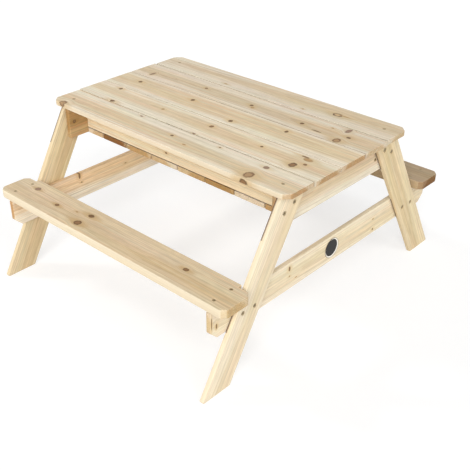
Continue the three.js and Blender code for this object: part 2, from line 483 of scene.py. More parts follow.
    def _bend_round_knots(
        self, tree: bpy.types.NodeTree, place: bpy.types.Node
    ) -> tuple[bpy.types.Node, list[tuple[bpy.types.Node, bpy.types.Node]]]:
        """Lead the grain round each knot.

        Args:
            tree: Node tree of the material.
            place: Node that gives the place in millimetres.

        Returns:
            The bent place, and for each knot the distance from it and from its tails, in knot sizes.
        """
        bent = place
        reaches = []
        ragged = self._pattern(tree, place, self.RAGGED_SIZE, 1.0) if self.knots else None
        for knot in self.knots:
            middle = (knot.along, knot.across, knot.level)
            away = add_node(tree, "ShaderNodeVectorMath", {0: place, 1: middle}, operation="SUBTRACT")
            shares = (1 / knot.half_length, 1 / knot.half_width, 1 / knot.depth if knot.depth else 0)
            scaled = add_node(tree, "ShaderNodeVectorMath", {0: away, 1: shares}, operation="MULTIPLY")
            length = add_node(tree, "ShaderNodeVectorMath", {0: scaled}, operation="LENGTH")
            outline = {0: ragged, 1: self.KNOT_RAGGED, 2: length}
            reach = add_node(tree, "ShaderNodeMath", outline, operation="MULTIPLY_ADD")
            centred = {0: reach, 1: self.KNOT_RAGGED / 2}
            reach = add_node(tree, "ShaderNodeMath", centred, operation="SUBTRACT")
            drawn = (1 / self.TAIL, 1, 1)
            tail = add_node(tree, "ShaderNodeVectorMath", {0: scaled, 1: drawn}, operation="MULTIPLY")
            tail = add_node(tree, "ShaderNodeVectorMath", {0: tail}, operation="LENGTH")
            outline = {0: ragged, 1: self.TINT_RAGGED, 2: tail}
            tail = add_node(tree, "ShaderNodeMath", outline, operation="MULTIPLY_ADD")
            near, far = self.BEND_RANGE
            ranges = {"Value": length, "From Min": near, "From Max": far}
            ranges |= {"To Min": self.BEND, "To Max": 0.0}
            pull = add_node(tree, "ShaderNodeMapRange", ranges, interpolation_type="SMOOTHERSTEP")
            inward = add_node(tree, "ShaderNodeVectorMath", {0: away, 1: (0, -1, 0)}, operation="MULTIPLY")
            step = add_node(tree, "ShaderNodeVectorMath", {0: inward, "Scale": pull}, operation="SCALE")
            bent = add_node(tree, "ShaderNodeVectorMath", {0: bent, 1: step})
            reaches.append((reach, tail))
        return bent, reaches

    def _tree_radius(
        self, tree: bpy.types.NodeTree, bent: bpy.types.Node, seeded: bpy.types.Node
    ) -> bpy.types.Node:
        """Give the distance from the middle of the tree.

        Args:
            tree: Node tree of the material.
            bent: Place in millimetres, bent round the knots.
            seeded: The same place, shifted by the seed.

        Returns:
            Node that gives the distance in millimetres.
        """
        wander = self._pattern(tree, seeded, self.WANDER_SIZE, 1.0)
        swing = (0, 2 * self.WANDER, 2 * self.WANDER)
        centred = (0, -self.WANDER, -self.WANDER)
        shift = add_node(
            tree,
            "ShaderNodeVectorMath",
            {0: wander.outputs["Color"], 1: swing, 2: centred},
            operation="MULTIPLY_ADD",
        )
        origin = (0, -self.pith_across, self.pith_below)
        turn = (0, math.radians(self.drift) / 2, math.radians(self.drift))
        trunk = add_node(tree, "ShaderNodeMapping", {"Vector": bent, "Location": origin, "Rotation": turn})
        section = add_node(
            tree, "ShaderNodeVectorMath", {0: trunk, 1: (0, 1, 1), 2: shift}, operation="MULTIPLY_ADD"
        )
        return add_node(tree, "ShaderNodeVectorMath", {0: section}, operation="LENGTH")

    def _latewood(
        self, tree: bpy.types.NodeTree, radius: bpy.types.Node, seeded: bpy.types.Node
    ) -> bpy.types.Node:
        """Give the strength of the latewood lines.

        Args:
            tree: Node tree of the material.
            radius: Distance from the middle of the tree in millimetres.
            seeded: Place in millimetres, shifted by the seed.

        Returns:
            Node that rises slowly through each ring and drops at its end, stronger in some years.
        """
        waver = self._pattern(tree, seeded, self.WAVER_SIZE, 2.0)
        years = add_node(tree, "ShaderNodeMath", {0: radius, 1: 1 / self.ring_width}, operation="MULTIPLY")
        years = add_node(tree, "ShaderNodeMath", {0: waver, 1: 0.5, 2: years}, operation="MULTIPLY_ADD")
        season = add_node(tree, "ShaderNodeMath", {0: years}, operation="FRACT")
        rise = add_node(tree, "ShaderNodeMath", {0: season, 1: self.LATE_SEASON}, operation="POWER")
        year = add_node(tree, "ShaderNodeMath", {0: years}, operation="FLOOR")
        year = add_node(tree, "ShaderNodeMath", {0: year, 1: self.seed * self.SEED_YEARS})
        luck = add_node(tree, "ShaderNodeTexWhiteNoise", {"W": year}, noise_dimensions="1D")
        ranges = {"Value": luck.outputs["Value"], "To Min": self.FAINT_YEAR * self.contrast}
        ranges["To Max"] = self.contrast
        weight = add_node(tree, "ShaderNodeMapRange", ranges)
        return add_node(tree, "ShaderNodeMath", {0: rise, 1: weight}, operation="MULTIPLY")

    def _clear_wood(
        self, tree: bpy.types.NodeTree, radius: bpy.types.Node, seeded: bpy.types.Node
    ) -> tuple[bpy.types.Node, bpy.types.Node]:
        """Colour the wood by its age in the tree, with warm and cool streaks.

        Args:
            tree: Node tree of the material.
            radius: Distance from the middle of the tree in millimetres.
            seeded: Place in millimetres, shifted by the seed.

        Returns:
            Nodes that give the colour and the share of heartwood.
        """
        tones = self.stock.value
        streak = self._pattern(tree, seeded, self.STREAK_SIZE, 2.0)
        outer, inner = self.BORDER
        rim = math.hypot(self.pith_below + self.FACE_LEVEL, self.heart_half) + self.BORDER_SWING / 2
        swing = {0: streak, 1: self.BORDER_SWING, 2: radius}
        border = add_node(tree, "ShaderNodeMath", swing, operation="MULTIPLY_ADD")
        heart = {"Value": border, "From Min": rim + outer, "From Max": rim + inner}
        warm, cool = (
            {"Value": streak, "From Min": start, "From Max": full, "To Max": self.streaks}
            for start, full in (self.WARM_RANGE, self.COOL_RANGE)
        )
        tone = None
        masks = []
        for ranges, colour in ((heart, tones.heartwood), (warm, tones.rosy), (cool, tones.grey)):
            masks.append(add_node(tree, "ShaderNodeMapRange", ranges, interpolation_type="SMOOTHSTEP"))
            colours = {"Factor": masks[-1], "A": tone or linear(tones.sapwood), "B": linear(colour)}
            tone = add_node(tree, "ShaderNodeMix", colours, data_type="RGBA")
        return tone, masks[0]

    def _lines(
        self,
        tree: bpy.types.NodeTree,
        tone: bpy.types.Node,
        late: bpy.types.Node,
        fibre: bpy.types.Node,
        seeded: bpy.types.Node,
    ) -> bpy.types.Node:
        """Draw latewood, fine lines, fibres and clouds over the clear wood.

        Args:
            tree: Node tree of the material.
            tone: Colour of the clear wood.
            late: Strength of the latewood.
            fibre: Fine noise along the grain.
            seeded: Place in millimetres, shifted by the seed.

        Returns:
            Node that gives the colour.
        """
        colours = {"Factor": late, "A": tone, "B": linear(self.stock.value.latewood)}
        tone = add_node(tree, "ShaderNodeMix", colours, data_type="RGBA")
        line = self._pattern(tree, seeded, self.LINE_SIZE, 3.0)
        cloud = self._pattern(tree, seeded, self.CLOUD_SIZE, 2.0)
        ripple = self._pattern(tree, seeded, self.RIPPLE_SIZE, 2.0)
        tints = {0: cloud.outputs["Color"], 1: self.CLOUD_SPREAD, 2: self.CLOUD_LEAST}
        tint = add_node(tree, "ShaderNodeVectorMath", tints, operation="MULTIPLY_ADD")
        tone = add_node(tree, "ShaderNodeVectorMath", {0: tone, 1: tint}, operation="MULTIPLY")
        low, high = self.PATTERN_RANGE
        shades = ((line, self.LINE_SHADES), (fibre, self.FIBRE_SHADES), (ripple, self.RIPPLE_SHADES))
        for pattern, (dark, pale) in shades:
            ranges = {"Value": pattern, "From Min": low, "From Max": high, "To Min": dark, "To Max": pale}
            shade = add_node(tree, "ShaderNodeMapRange", ranges)
            tone = add_node(tree, "ShaderNodeVectorMath", {0: tone, "Scale": shade}, operation="SCALE")
        return tone

    def _draw_knots(
        self,
        tree: bpy.types.NodeTree,
        tone: bpy.types.Node,
        reaches: Sequence[tuple[bpy.types.Node, bpy.types.Node]],
        place: bpy.types.Node,
    ) -> bpy.types.Node:
        """Colour each knot and the wood round it.

        Args:
            tree: Node tree of the material.
            tone: Colour of the clear wood.
            reaches: For each knot, the distance from it and from its tails, in knot sizes.
            place: Node that gives the place in millimetres.

        Returns:
            Node that gives the colour with the knots.
        """
        patchy = self._pattern(tree, place, self.BARK_SIZE, 2.0) if self.knots else None
        core_end, core_full = self.CORE_EDGE
        bark_end, bark_full = self.BARK_EDGE
        for knot, (reach, tail) in zip(self.knots, reaches):
            look = knot.kind.value
            halo = {"Value": tail, "From Min": look.halo_reach, "From Max": self.TINT_FULL}
            halo["To Max"] = look.halo_strength
            core = {"Value": reach, "From Min": core_end, "From Max": core_full}
            offset = add_node(tree, "ShaderNodeMath", {0: reach, 1: self.BARK_PLACE}, operation="SUBTRACT")
            offset = add_node(tree, "ShaderNodeMath", {0: offset}, operation="ABSOLUTE")
            patches = {0: patchy, 1: self.BARK_PATCHES, 2: offset}
            offset = add_node(tree, "ShaderNodeMath", patches, operation="MULTIPLY_ADD")
            rim = {"Value": offset, "From Min": bark_end, "From Max": bark_full}
            rim["To Max"] = look.rim_strength
            for ranges, colour in ((halo, self.stock.value.resin), (core, look.core), (rim, look.rim)):
                mask = add_node(tree, "ShaderNodeMapRange", ranges, interpolation_type="SMOOTHSTEP")
                colours = {"Factor": mask, "A": tone, "B": linear(colour)}
                tone = add_node(tree, "ShaderNodeMix", colours, data_type="RGBA")
        return tone

    def _sawn_faces(
        self,
        tree: bpy.types.NodeTree,
        coords: bpy.types.Node,
        tone: bpy.types.Node,
        heart: bpy.types.Node,
        place: bpy.types.Node,
    ) -> tuple[bpy.types.Node, bpy.types.Node]:
        """Pale the edges, partly as a painted highlight, paint shade with dust on those inside a seam, and
        darken the ends, whose open fibres swallow light.

        Args:
            tree: Node tree of the material.
            coords: Node that gives the board's own coordinates and normal.
            tone: Colour of the broad faces.
            heart: Share of heartwood.
            place: Node that gives the place in millimetres.

        Returns:
            The colour with its edges and ends, and the share of end grain at each point.
        """
        slant = math.radians(self.slant)
        grain = (math.cos(slant), math.sin(slant), 0)
        across = (-math.sin(slant), math.cos(slant), 0)
        facings = []
        for direction in (across, grain):
            toward = {0: coords.outputs["Normal"], 1: direction}
            facings.append(add_node(tree, "ShaderNodeVectorMath", toward, operation="DOT_PRODUCT"))
        aside, forward = facings
        forward = add_node(tree, "ShaderNodeMath", {0: forward}, operation="ABSOLUTE")
        tones = self.stock.value
        # Edges inside a seam take painted shade with dust, the others the pale edge colour, partly a
        # painted highlight
        for side, grime in zip((-1, 1), self.seams):
            start, full = self.GRIME_TURN if grime else self.EDGE_TURN
            ranges = {"Value": aside, "From Min": start * side, "From Max": full * side}
            ranges["To Max"] = grime or self.EDGE_SHARE
            mask = add_node(tree, "ShaderNodeMapRange", ranges, interpolation_type="SMOOTHSTEP")
            colours = {"Factor": mask, "A": tone, "B": linear(tones.grime if grime else tones.edge)}
            tone = add_node(tree, "ShaderNodeMix", colours, data_type="RGBA")
        tone = self._crevices(tree, coords, tone, aside)
        start, full = self.END_TURN
        ranges = {"Value": forward, "From Min": start, "From Max": full}
        end = add_node(tree, "ShaderNodeMapRange", ranges, interpolation_type="SMOOTHSTEP")
        mottle = self._pattern(tree, place, self.MOTTLE_SIZE, 2.0)
        mottles = {0: mottle, 1: self.MOTTLE_WEIGHT, 2: heart}
        stain = add_node(tree, "ShaderNodeMath", mottles, operation="MULTIPLY_ADD")
        start, full = self.STAIN_RANGE
        ranges = {"Value": stain, "From Min": start, "From Max": full, "To Min": self.STAIN_LEAST}
        stain = add_node(tree, "ShaderNodeMapRange", ranges)
        stain = add_node(tree, "ShaderNodeMath", {0: stain, 1: end}, operation="MULTIPLY")
        colours = {"Factor": stain, "A": tone, "B": linear(tones.end_grain)}
        tone = add_node(tree, "ShaderNodeMix", colours, data_type="RGBA", blend_type="MULTIPLY")
        return tone, end

    def _crevices(
        self, tree: bpy.types.NodeTree, coords: bpy.types.Node, tone: bpy.types.Node, aside: bpy.types.Node
    ) -> bpy.types.Node:
        """Paint shade, with some dust and resin, where the board lies against others, as shade falls in
        such corners.

        Args:
            tree: Node tree of the material.
            coords: Node that gives the board's own coordinates and normal.
            tone: Colour so far.
            aside: How far the surface faces the long edges.

        Returns:
            The colour with its painted shade.
        """
        if not self.contacts:
            return tone
        along = add_node(tree, "ShaderNodeSeparateXYZ", {0: coords.outputs["Object"]}).outputs["X"]
        sideward = add_node(tree, "ShaderNodeMath", {0: aside}, operation="ABSOLUTE")
        for contact in self.contacts:
            toward = {0: coords.outputs["Normal"], 1: (0, 0, contact.side)}
            corner_facing = add_node(tree, "ShaderNodeVectorMath", toward, operation="DOT_PRODUCT")
            if contact.side < 0:
                corner_facing = add_node(tree, "ShaderNodeMath", {0: corner_facing, 1: sideward}, operation="MULTIPLY")
            middle = (contact.start + contact.end) / 2 * MM
            half = (contact.end - contact.start) / 2 * MM
            near = add_node(tree, "ShaderNodeMath", {0: along, 1: middle, 2: half}, operation="COMPARE")
            mask = add_node(tree, "ShaderNodeMath", {0: corner_facing, 1: near}, operation="MULTIPLY")
            ranges = {"Value": mask, "From Max": self.DIRT_ONSET, "To Max": contact.dirt}
            mask = add_node(tree, "ShaderNodeMapRange", ranges)
            colours = {"Factor": mask, "A": tone, "B": linear(self.CORNER_DIRT)}
            tone = add_node(tree, "ShaderNodeMix", colours, data_type="RGBA")
        return tone

    def _surface(
        self,
        tree: bpy.types.NodeTree,
        tone: bpy.types.Node,
        late: bpy.types.Node,
        fibre: bpy.types.Node,
        end: bpy.types.Node,
    ) -> None:
        """Join colour, roughness and relief in the shader.

        Args:
            tree: Node tree of the material.
            tone: Colour.
            late: Strength of the latewood, which planing leaves slightly proud.
            fibre: Fine noise along the grain.
            end: Share of end grain.
        """
        grains = {0: late, 1: self.LATE_RELIEF, 2: fibre}
        relief = add_node(tree, "ShaderNodeMath", grains, operation="MULTIPLY_ADD")
        raised = {"Strength": self.RELIEF_STRENGTH, "Distance": self.RELIEF * MM, "Height": relief}
        bump = add_node(tree, "ShaderNodeBump", raised)
        planed, sawn = self.ROUGHNESS
        roughness = add_node(tree, "ShaderNodeMapRange", {"Value": end, "To Min": planed, "To Max": sawn})
        wood = add_node(
            tree,
            "ShaderNodeBsdfPrincipled",
            {
                "Base Color": tone,
                "Roughness": roughness,
                "Normal": bump,
                "IOR": 1.5,
                "Specular IOR Level": self.gleam,
            },
        )
        add_node(tree, "ShaderNodeOutputMaterial", {"Surface": wood})


@dataclass(frozen=True)
class SteelFinish:
    """Yellow passivated steel of the screws: a tan metal with a soft gleam, and painted shade with some
    dust in the recess.

    Attributes:
        colour: Colour of the plating.
        dull: Colour of its dull patches.
        grime: Colour below the face of the head: painted shade of the recess, with what has settled there.
        roughness: Roughness of the plating.
        stain_size: Size of the dull patches in millimetres.
    """

    colour: str = "#B3A280"
    dull: str = "#8F7F61"
    grime: str = "#3B3024"
    roughness: float = 0.4
    stain_size: float = 2.5

    # Heights over the face of the head where the painted shade starts and where it is full, in millimetres
    GRIME_START = -0.1
    GRIME_FULL = -0.6

    def material(self) -> bpy.types.Material:
        """Build the material.

        Returns:
            The one material that all screws share.
        """
        name = "yellow_passivated_steel"
        if name in bpy.data.materials:
            return bpy.data.materials[name]
        material = bpy.data.materials.new(name)
        tree = clear_tree(material)
        coords = add_node(tree, "ShaderNodeTexCoord")
        patches = {"Vector": coords.outputs["Object"], "Scale": 1 / (self.stain_size * MM), "Detail": 2.0}
        stain = add_node(tree, "ShaderNodeTexNoise", patches)
        # Painted shade with some dust below the face of the head, in the recess
        height = add_node(tree, "ShaderNodeSeparateXYZ", {0: coords.outputs["Object"]}).outputs["Z"]
        ranges = {"Value": height, "From Min": self.GRIME_START * MM, "From Max": self.GRIME_FULL * MM}
        sunk = add_node(tree, "ShaderNodeMapRange", ranges)
        tone = linear(self.dull)
        for share, colour in ((stain, self.colour), (sunk, self.grime)):
            colours = {"Factor": share, "A": tone, "B": linear(colour)}
            tone = add_node(tree, "ShaderNodeMix", colours, data_type="RGBA")
        gloss = {"Value": stain, "To Min": self.roughness - 0.08, "To Max": self.roughness + 0.14}
        roughness = add_node(tree, "ShaderNodeMapRange", gloss)
        metal = add_node(
            tree, "ShaderNodeBsdfPrincipled", {"Base Color": tone, "Metallic": 0.85, "Roughness": roughness}
        )
        add_node(tree, "ShaderNodeOutputMaterial", {"Surface": metal})
        return material


@dataclass(frozen=True)
class EnamelFinish:
    """Stove enamel on the badge: an even coat with a faint orange-peel texture.

    Attributes:
        name: Name of the material.
        colour: Colour of the coat.
        roughness: Roughness of the coat.
        peel_size: Size of the orange-peel texture in millimetres.
    """

    name: str
    colour: str
    roughness: float = 0.42
    peel_size: float = 1.2

    def material(self) -> bpy.types.Material:
        """Build the material.

        Returns:
            The material of this coat.
        """
        material = bpy.data.materials.new(self.name)
        tree = clear_tree(material)
        coords = add_node(tree, "ShaderNodeTexCoord")
        dimples = {"Vector": coords.outputs["Object"], "Scale": 1 / (self.peel_size * MM), "Detail": 1.0}
        peel = add_node(tree, "ShaderNodeTexNoise", dimples)
        gloss = {"Value": peel, "To Min": self.roughness - 0.06, "To Max": self.roughness + 0.06}
        roughness = add_node(tree, "ShaderNodeMapRange", gloss)
        bump = add_node(tree, "ShaderNodeBump", {"Strength": 0.2, "Distance": 0.05 * MM, "Height": peel})
        coat = add_node(
            tree,
            "ShaderNodeBsdfPrincipled",
            {"Base Color": linear(self.colour), "Roughness": roughness, "Normal": bump},
        )
        add_node(tree, "ShaderNodeOutputMaterial", {"Surface": coat})
        return material


@dataclass(frozen=True)
class Corner:
    """Corner of a board's outline.

    Attributes:
        x: Place along the grain.
        y: Place across the board.
        radius: Radius that rounds the corner.
    """

    x: float
    y: float
    radius: float = 3.2 * MM


@dataclass(frozen=True)
class Outline:
    """Closed outline of a board, anticlockwise, with rounded corners.

    Attributes:
        corners: Corners of the outline.
        steps: Points on each rounded corner, less one.
    """

    corners: tuple[Corner, ...]
    steps: int = 4

    def points(self, inset: float) -> list[Vector]:
        """Give the outline's points, moved inward.

        Args:
            inset: Distance inward.

        Returns:
            The same number of points for every inset.
        """
        found = []
        count = len(self.corners)
        for i, corner in enumerate(self.corners):
            here = Vector((corner.x, corner.y))
            before = self.corners[i - 1]
            after = self.corners[(i + 1) % count]
            enter = (here - Vector((before.x, before.y))).normalized()
            leave = (Vector((after.x, after.y)) - here).normalized()
            turn = math.atan2(enter.cross(leave), enter.dot(leave))
            bulge = math.copysign(1.0, turn)
            reach = corner.radius * math.tan(abs(turn) / 2)
            start = here - enter * reach
            middle = start + Vector((-enter.y, enter.x)) * corner.radius * bulge
            spoke = (start - middle).normalized() * (corner.radius - bulge * inset)
            for k in range(self.steps + 1):
                angle = turn * k / self.steps
                c, s = math.cos(angle), math.sin(angle)
                found.append(middle + Vector((spoke.x * c - spoke.y * s, spoke.x * s + spoke.y * c)))
        return found


def rectangle(length: float, width: float, cut: float = 0.0, shoulder: float = 0.0) -> Outline:
    """Outline a rectangle whose two corners on the -Y side may be cut at 45 degrees.

    Args:
        length: Length along X.
        width: Width along Y.
        cut: Size of the cut.
        shoulder: Radius that rounds the ends of the cut.

    Returns:
        The outline.
    """
    x, y = length / 2, width / 2
    if cut == 0:
        low = [Corner(-x, -y), Corner(x, -y)]
    else:
        shares = [(-x, -y + cut), (-x + cut, -y), (x - cut, -y), (x, -y + cut)]
        low = [Corner(a, b, shoulder) for a, b in shares]
    return Outline((*low, Corner(x, y), Corner(-x, y)))


def lay(middle: Vector, grain: Vector, face: Vector) -> Matrix:
    """Lay a board in the table.

    Args:
        middle: Middle of the board.
        grain: Direction of its local X.
        face: Direction of its local Z, out of its broad face.

    Returns:
        The board's matrix.
    """
    across = face.cross(grain)
    return Matrix.Translation(middle) @ Matrix((grain, across, face)).transposed().to_4x4()


def lie_out(point: Vector, outward: Vector) -> Matrix:
    """Place something at a point with its local Z pointing outward.

    Args:
        point: The point.
        outward: Direction of local Z.

    Returns:
        The matrix.
    """
    return Matrix.Translation(point) @ ALONG_Z.rotation_difference(outward).to_matrix().to_4x4()


def plan(node: str, grain: Vector, face: Vector) -> tuple[Matrix, float, float]:
    """Read the place and size of a board from the box of its node.

    Args:
        node: Name of the node.
        grain: Direction of the grain.
        face: Direction that the broad face looks in.

    Returns:
        The board's matrix, its length along the grain and its width across it.
    """
    low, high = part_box(node)
    span = high - low
    return lay((low + high) / 2, grain, face), abs(span.dot(grain)), abs(span.dot(face.cross(grain)))


def turned(
    bm: bmesh.types.BMesh, profile: Sequence[tuple[float, float]], place: Matrix, sides: int
) -> None:
    """Add a turned body to a mesh.

    Args:
        bm: Mesh that takes it.
        profile: Radius and height of each ring, from one pole on the axis to the other.
        place: Place of the body, whose axis is local Z.
        sides: Number of sides.
    """
    rings = []
    for radius, height in profile:
        if radius == 0:
            rings.append([bm.verts.new(place @ Vector((0, 0, height)))])
            continue
        angles = [2 * math.pi * k / sides for k in range(sides)]
        ring = [Vector((radius * math.cos(a), radius * math.sin(a), height)) for a in angles]
        rings.append([bm.verts.new(place @ v) for v in ring])
    for one, two in zip(rings, rings[1:]):
        for k in range(sides):
            lower = [one[k % len(one)], one[(k + 1) % len(one)]]
            upper = [two[(k + 1) % len(two)], two[k % len(two)]]
            bm.faces.new(list(dict.fromkeys(lower + upper)))


def mesh_from(bm: bmesh.types.BMesh, name: str) -> bpy.types.Mesh:
    """Close a bmesh and turn it into a mesh.

    Args:
        bm: The bmesh, which is freed.
        name: Name of the mesh.

    Returns:
        The mesh, its faces pointing out.
    """
    bmesh.ops.recalc_face_normals(bm, faces=bm.faces)
    mesh = bpy.data.meshes.new(name)
    bm.to_mesh(mesh)
    bm.free()
    return mesh


@dataclass(frozen=True)
class ScrewSize:
    """Countersunk wood screw with a cross recess, and the bore that it sits in.

    Attributes:
        head: Radius of the head.
        rim: Height of the head's straight rim.
        cone: Depth of the head.
        shank: Radius of the shank.
        tip: Length of the point.
        recess: Reach of the cross recess from the axis.
        slot: Width of the recess.
        depth: Depth of the recess.
        mouth: Room round the head, which shows as a dark ring.
        room: Room round the shank.
        edge: Size of the broken edge of the head.
    """

    head: float = 4.7 * MM
    rim: float = 0.5 * MM
    cone: float = 2.6 * MM
    shank: float = 2.0 * MM
    tip: float = 4.0 * MM
    recess: float = 2.5 * MM
    slot: float = 1.0 * MM
    depth: float = 1.7 * MM
    mouth: float = 0.9 * MM
    room: float = 0.3 * MM
    edge: float = 0.15 * MM

    SIDES = 24
    # How far the bodies that cut the recess and the bore stand out over the face of the head
    RECESS_ABOVE = 0.5 * MM
    BORE_ABOVE = 1.5 * MM
    # The recess narrows to this share of its size at its bottom
    RECESS_TAPER = 0.45

    def add_body(self, bm: bmesh.types.BMesh, place: Matrix, length: float) -> None:
        """Add the screw without its recess.

        Args:
            bm: Mesh that takes it.
            place: Middle of the head's face, local Z pointing out of the wood.
            length: Length of the screw.
        """
        profile = [
            (0, 0),
            (self.head - self.edge, 0),
            (self.head, -self.edge),
            (self.head, -self.rim),
            (self.shank, -self.cone),
            (self.shank, self.tip - length),
            (0, -length),
        ]
        turned(bm, profile, place, self.SIDES)

    def add_recess(self, bm: bmesh.types.BMesh, place: Matrix) -> None:
        """Add the tapered cross that the recess is cut with.

        Args:
            bm: Mesh that takes it.
            place: Middle of the head's face, local Z pointing out of the wood.
        """
        half = self.slot / 2
        arm = [(self.recess, -half), (self.recess, half), (half, half)]
        rings = []
        for height, share in ((self.RECESS_ABOVE, 1.0), (-self.depth, self.RECESS_TAPER)):
            points = [Vector((x * share, y * share, height)) for x, y in arm]
            ring = []
            for quarter in range(4):
                spin = place @ Matrix.Rotation(quarter * math.pi / 2, 4, "Z")
                ring += [bm.verts.new(spin @ point) for point in points]
            rings.append(ring)
        top, bottom = rings
        bm.faces.new(top)
        bm.faces.new(bottom)
        for k in range(len(top)):
            after = (k + 1) % len(top)
            bm.faces.new([top[k], top[after], bottom[after], bottom[k]])

    def add_bore(self, bm: bmesh.types.BMesh, place: Matrix, length: float) -> None:
        """Add the body that the bore is cut with.

        Args:
            bm: Mesh that takes it.
            place: Middle of the head's face, local Z pointing out of the wood.
            length: Length of the screw.
        """
        wide = self.head + self.mouth
        narrow = self.shank + self.room
        profile = [
            (0, self.BORE_ABOVE),
            (wide, self.BORE_ABOVE),
            (wide, -self.rim),
            (narrow, -self.cone),
            (narrow, self.tip - length - self.room),
            (0, -length - self.room),
        ]
        turned(bm, profile, place, self.SIDES)


# The leg screws have larger heads, with a wider and deeper hole round them
LEG_SCREW = ScrewSize(
    head=5.4 * MM,
    rim=1.4 * MM,
    cone=3.6 * MM,
    recess=3.3 * MM,
    slot=1.5 * MM,
    depth=2.2 * MM,
    mouth=1.8 * MM,
)


@dataclass(frozen=True)
class ScrewPlace:
    """Screw in the table.

    Attributes:
        place: Middle of the head's face, local Z pointing out of the wood.
        length: Length of the screw.
        size: Its section.
    """

    place: Matrix
    length: float
    size: ScrewSize = ScrewSize()

    @classmethod
    def of_node(cls, node: str, size: ScrewSize) -> "ScrewPlace":
        """Read a screw's place from the frame.

        Args:
            node: Name of the screw's node.
            size: Section of the screw.

        Returns:
            The screw: upright ones have their head on top, level ones at the outer end.
        """
        low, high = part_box(node)
        span = high - low
        axis = max(range(3), key=lambda i: span[i])
        outward = Vector((0, 0, 0))
        outward[axis] = 1.0 if axis == 2 else math.copysign(1.0, low[axis])
        head = (low + high) / 2 + outward * span[axis] / 2
        return cls(lie_out(head, outward), span[axis], size)

    def meets(self, low: Vector, high: Vector) -> bool:
        """Say whether the screw's axis passes through a box.

        Args:
            low: Lowest corner of the box.
            high: Highest corner of the box.

        Returns:
            True if the two meet.
        """
        ends = [self.place @ Vector((0, 0, z)) for z in (0, -self.length)]
        return all(
            min(e[i] for e in ends) < high[i] and max(e[i] for e in ends) > low[i] for i in range(3)
        )


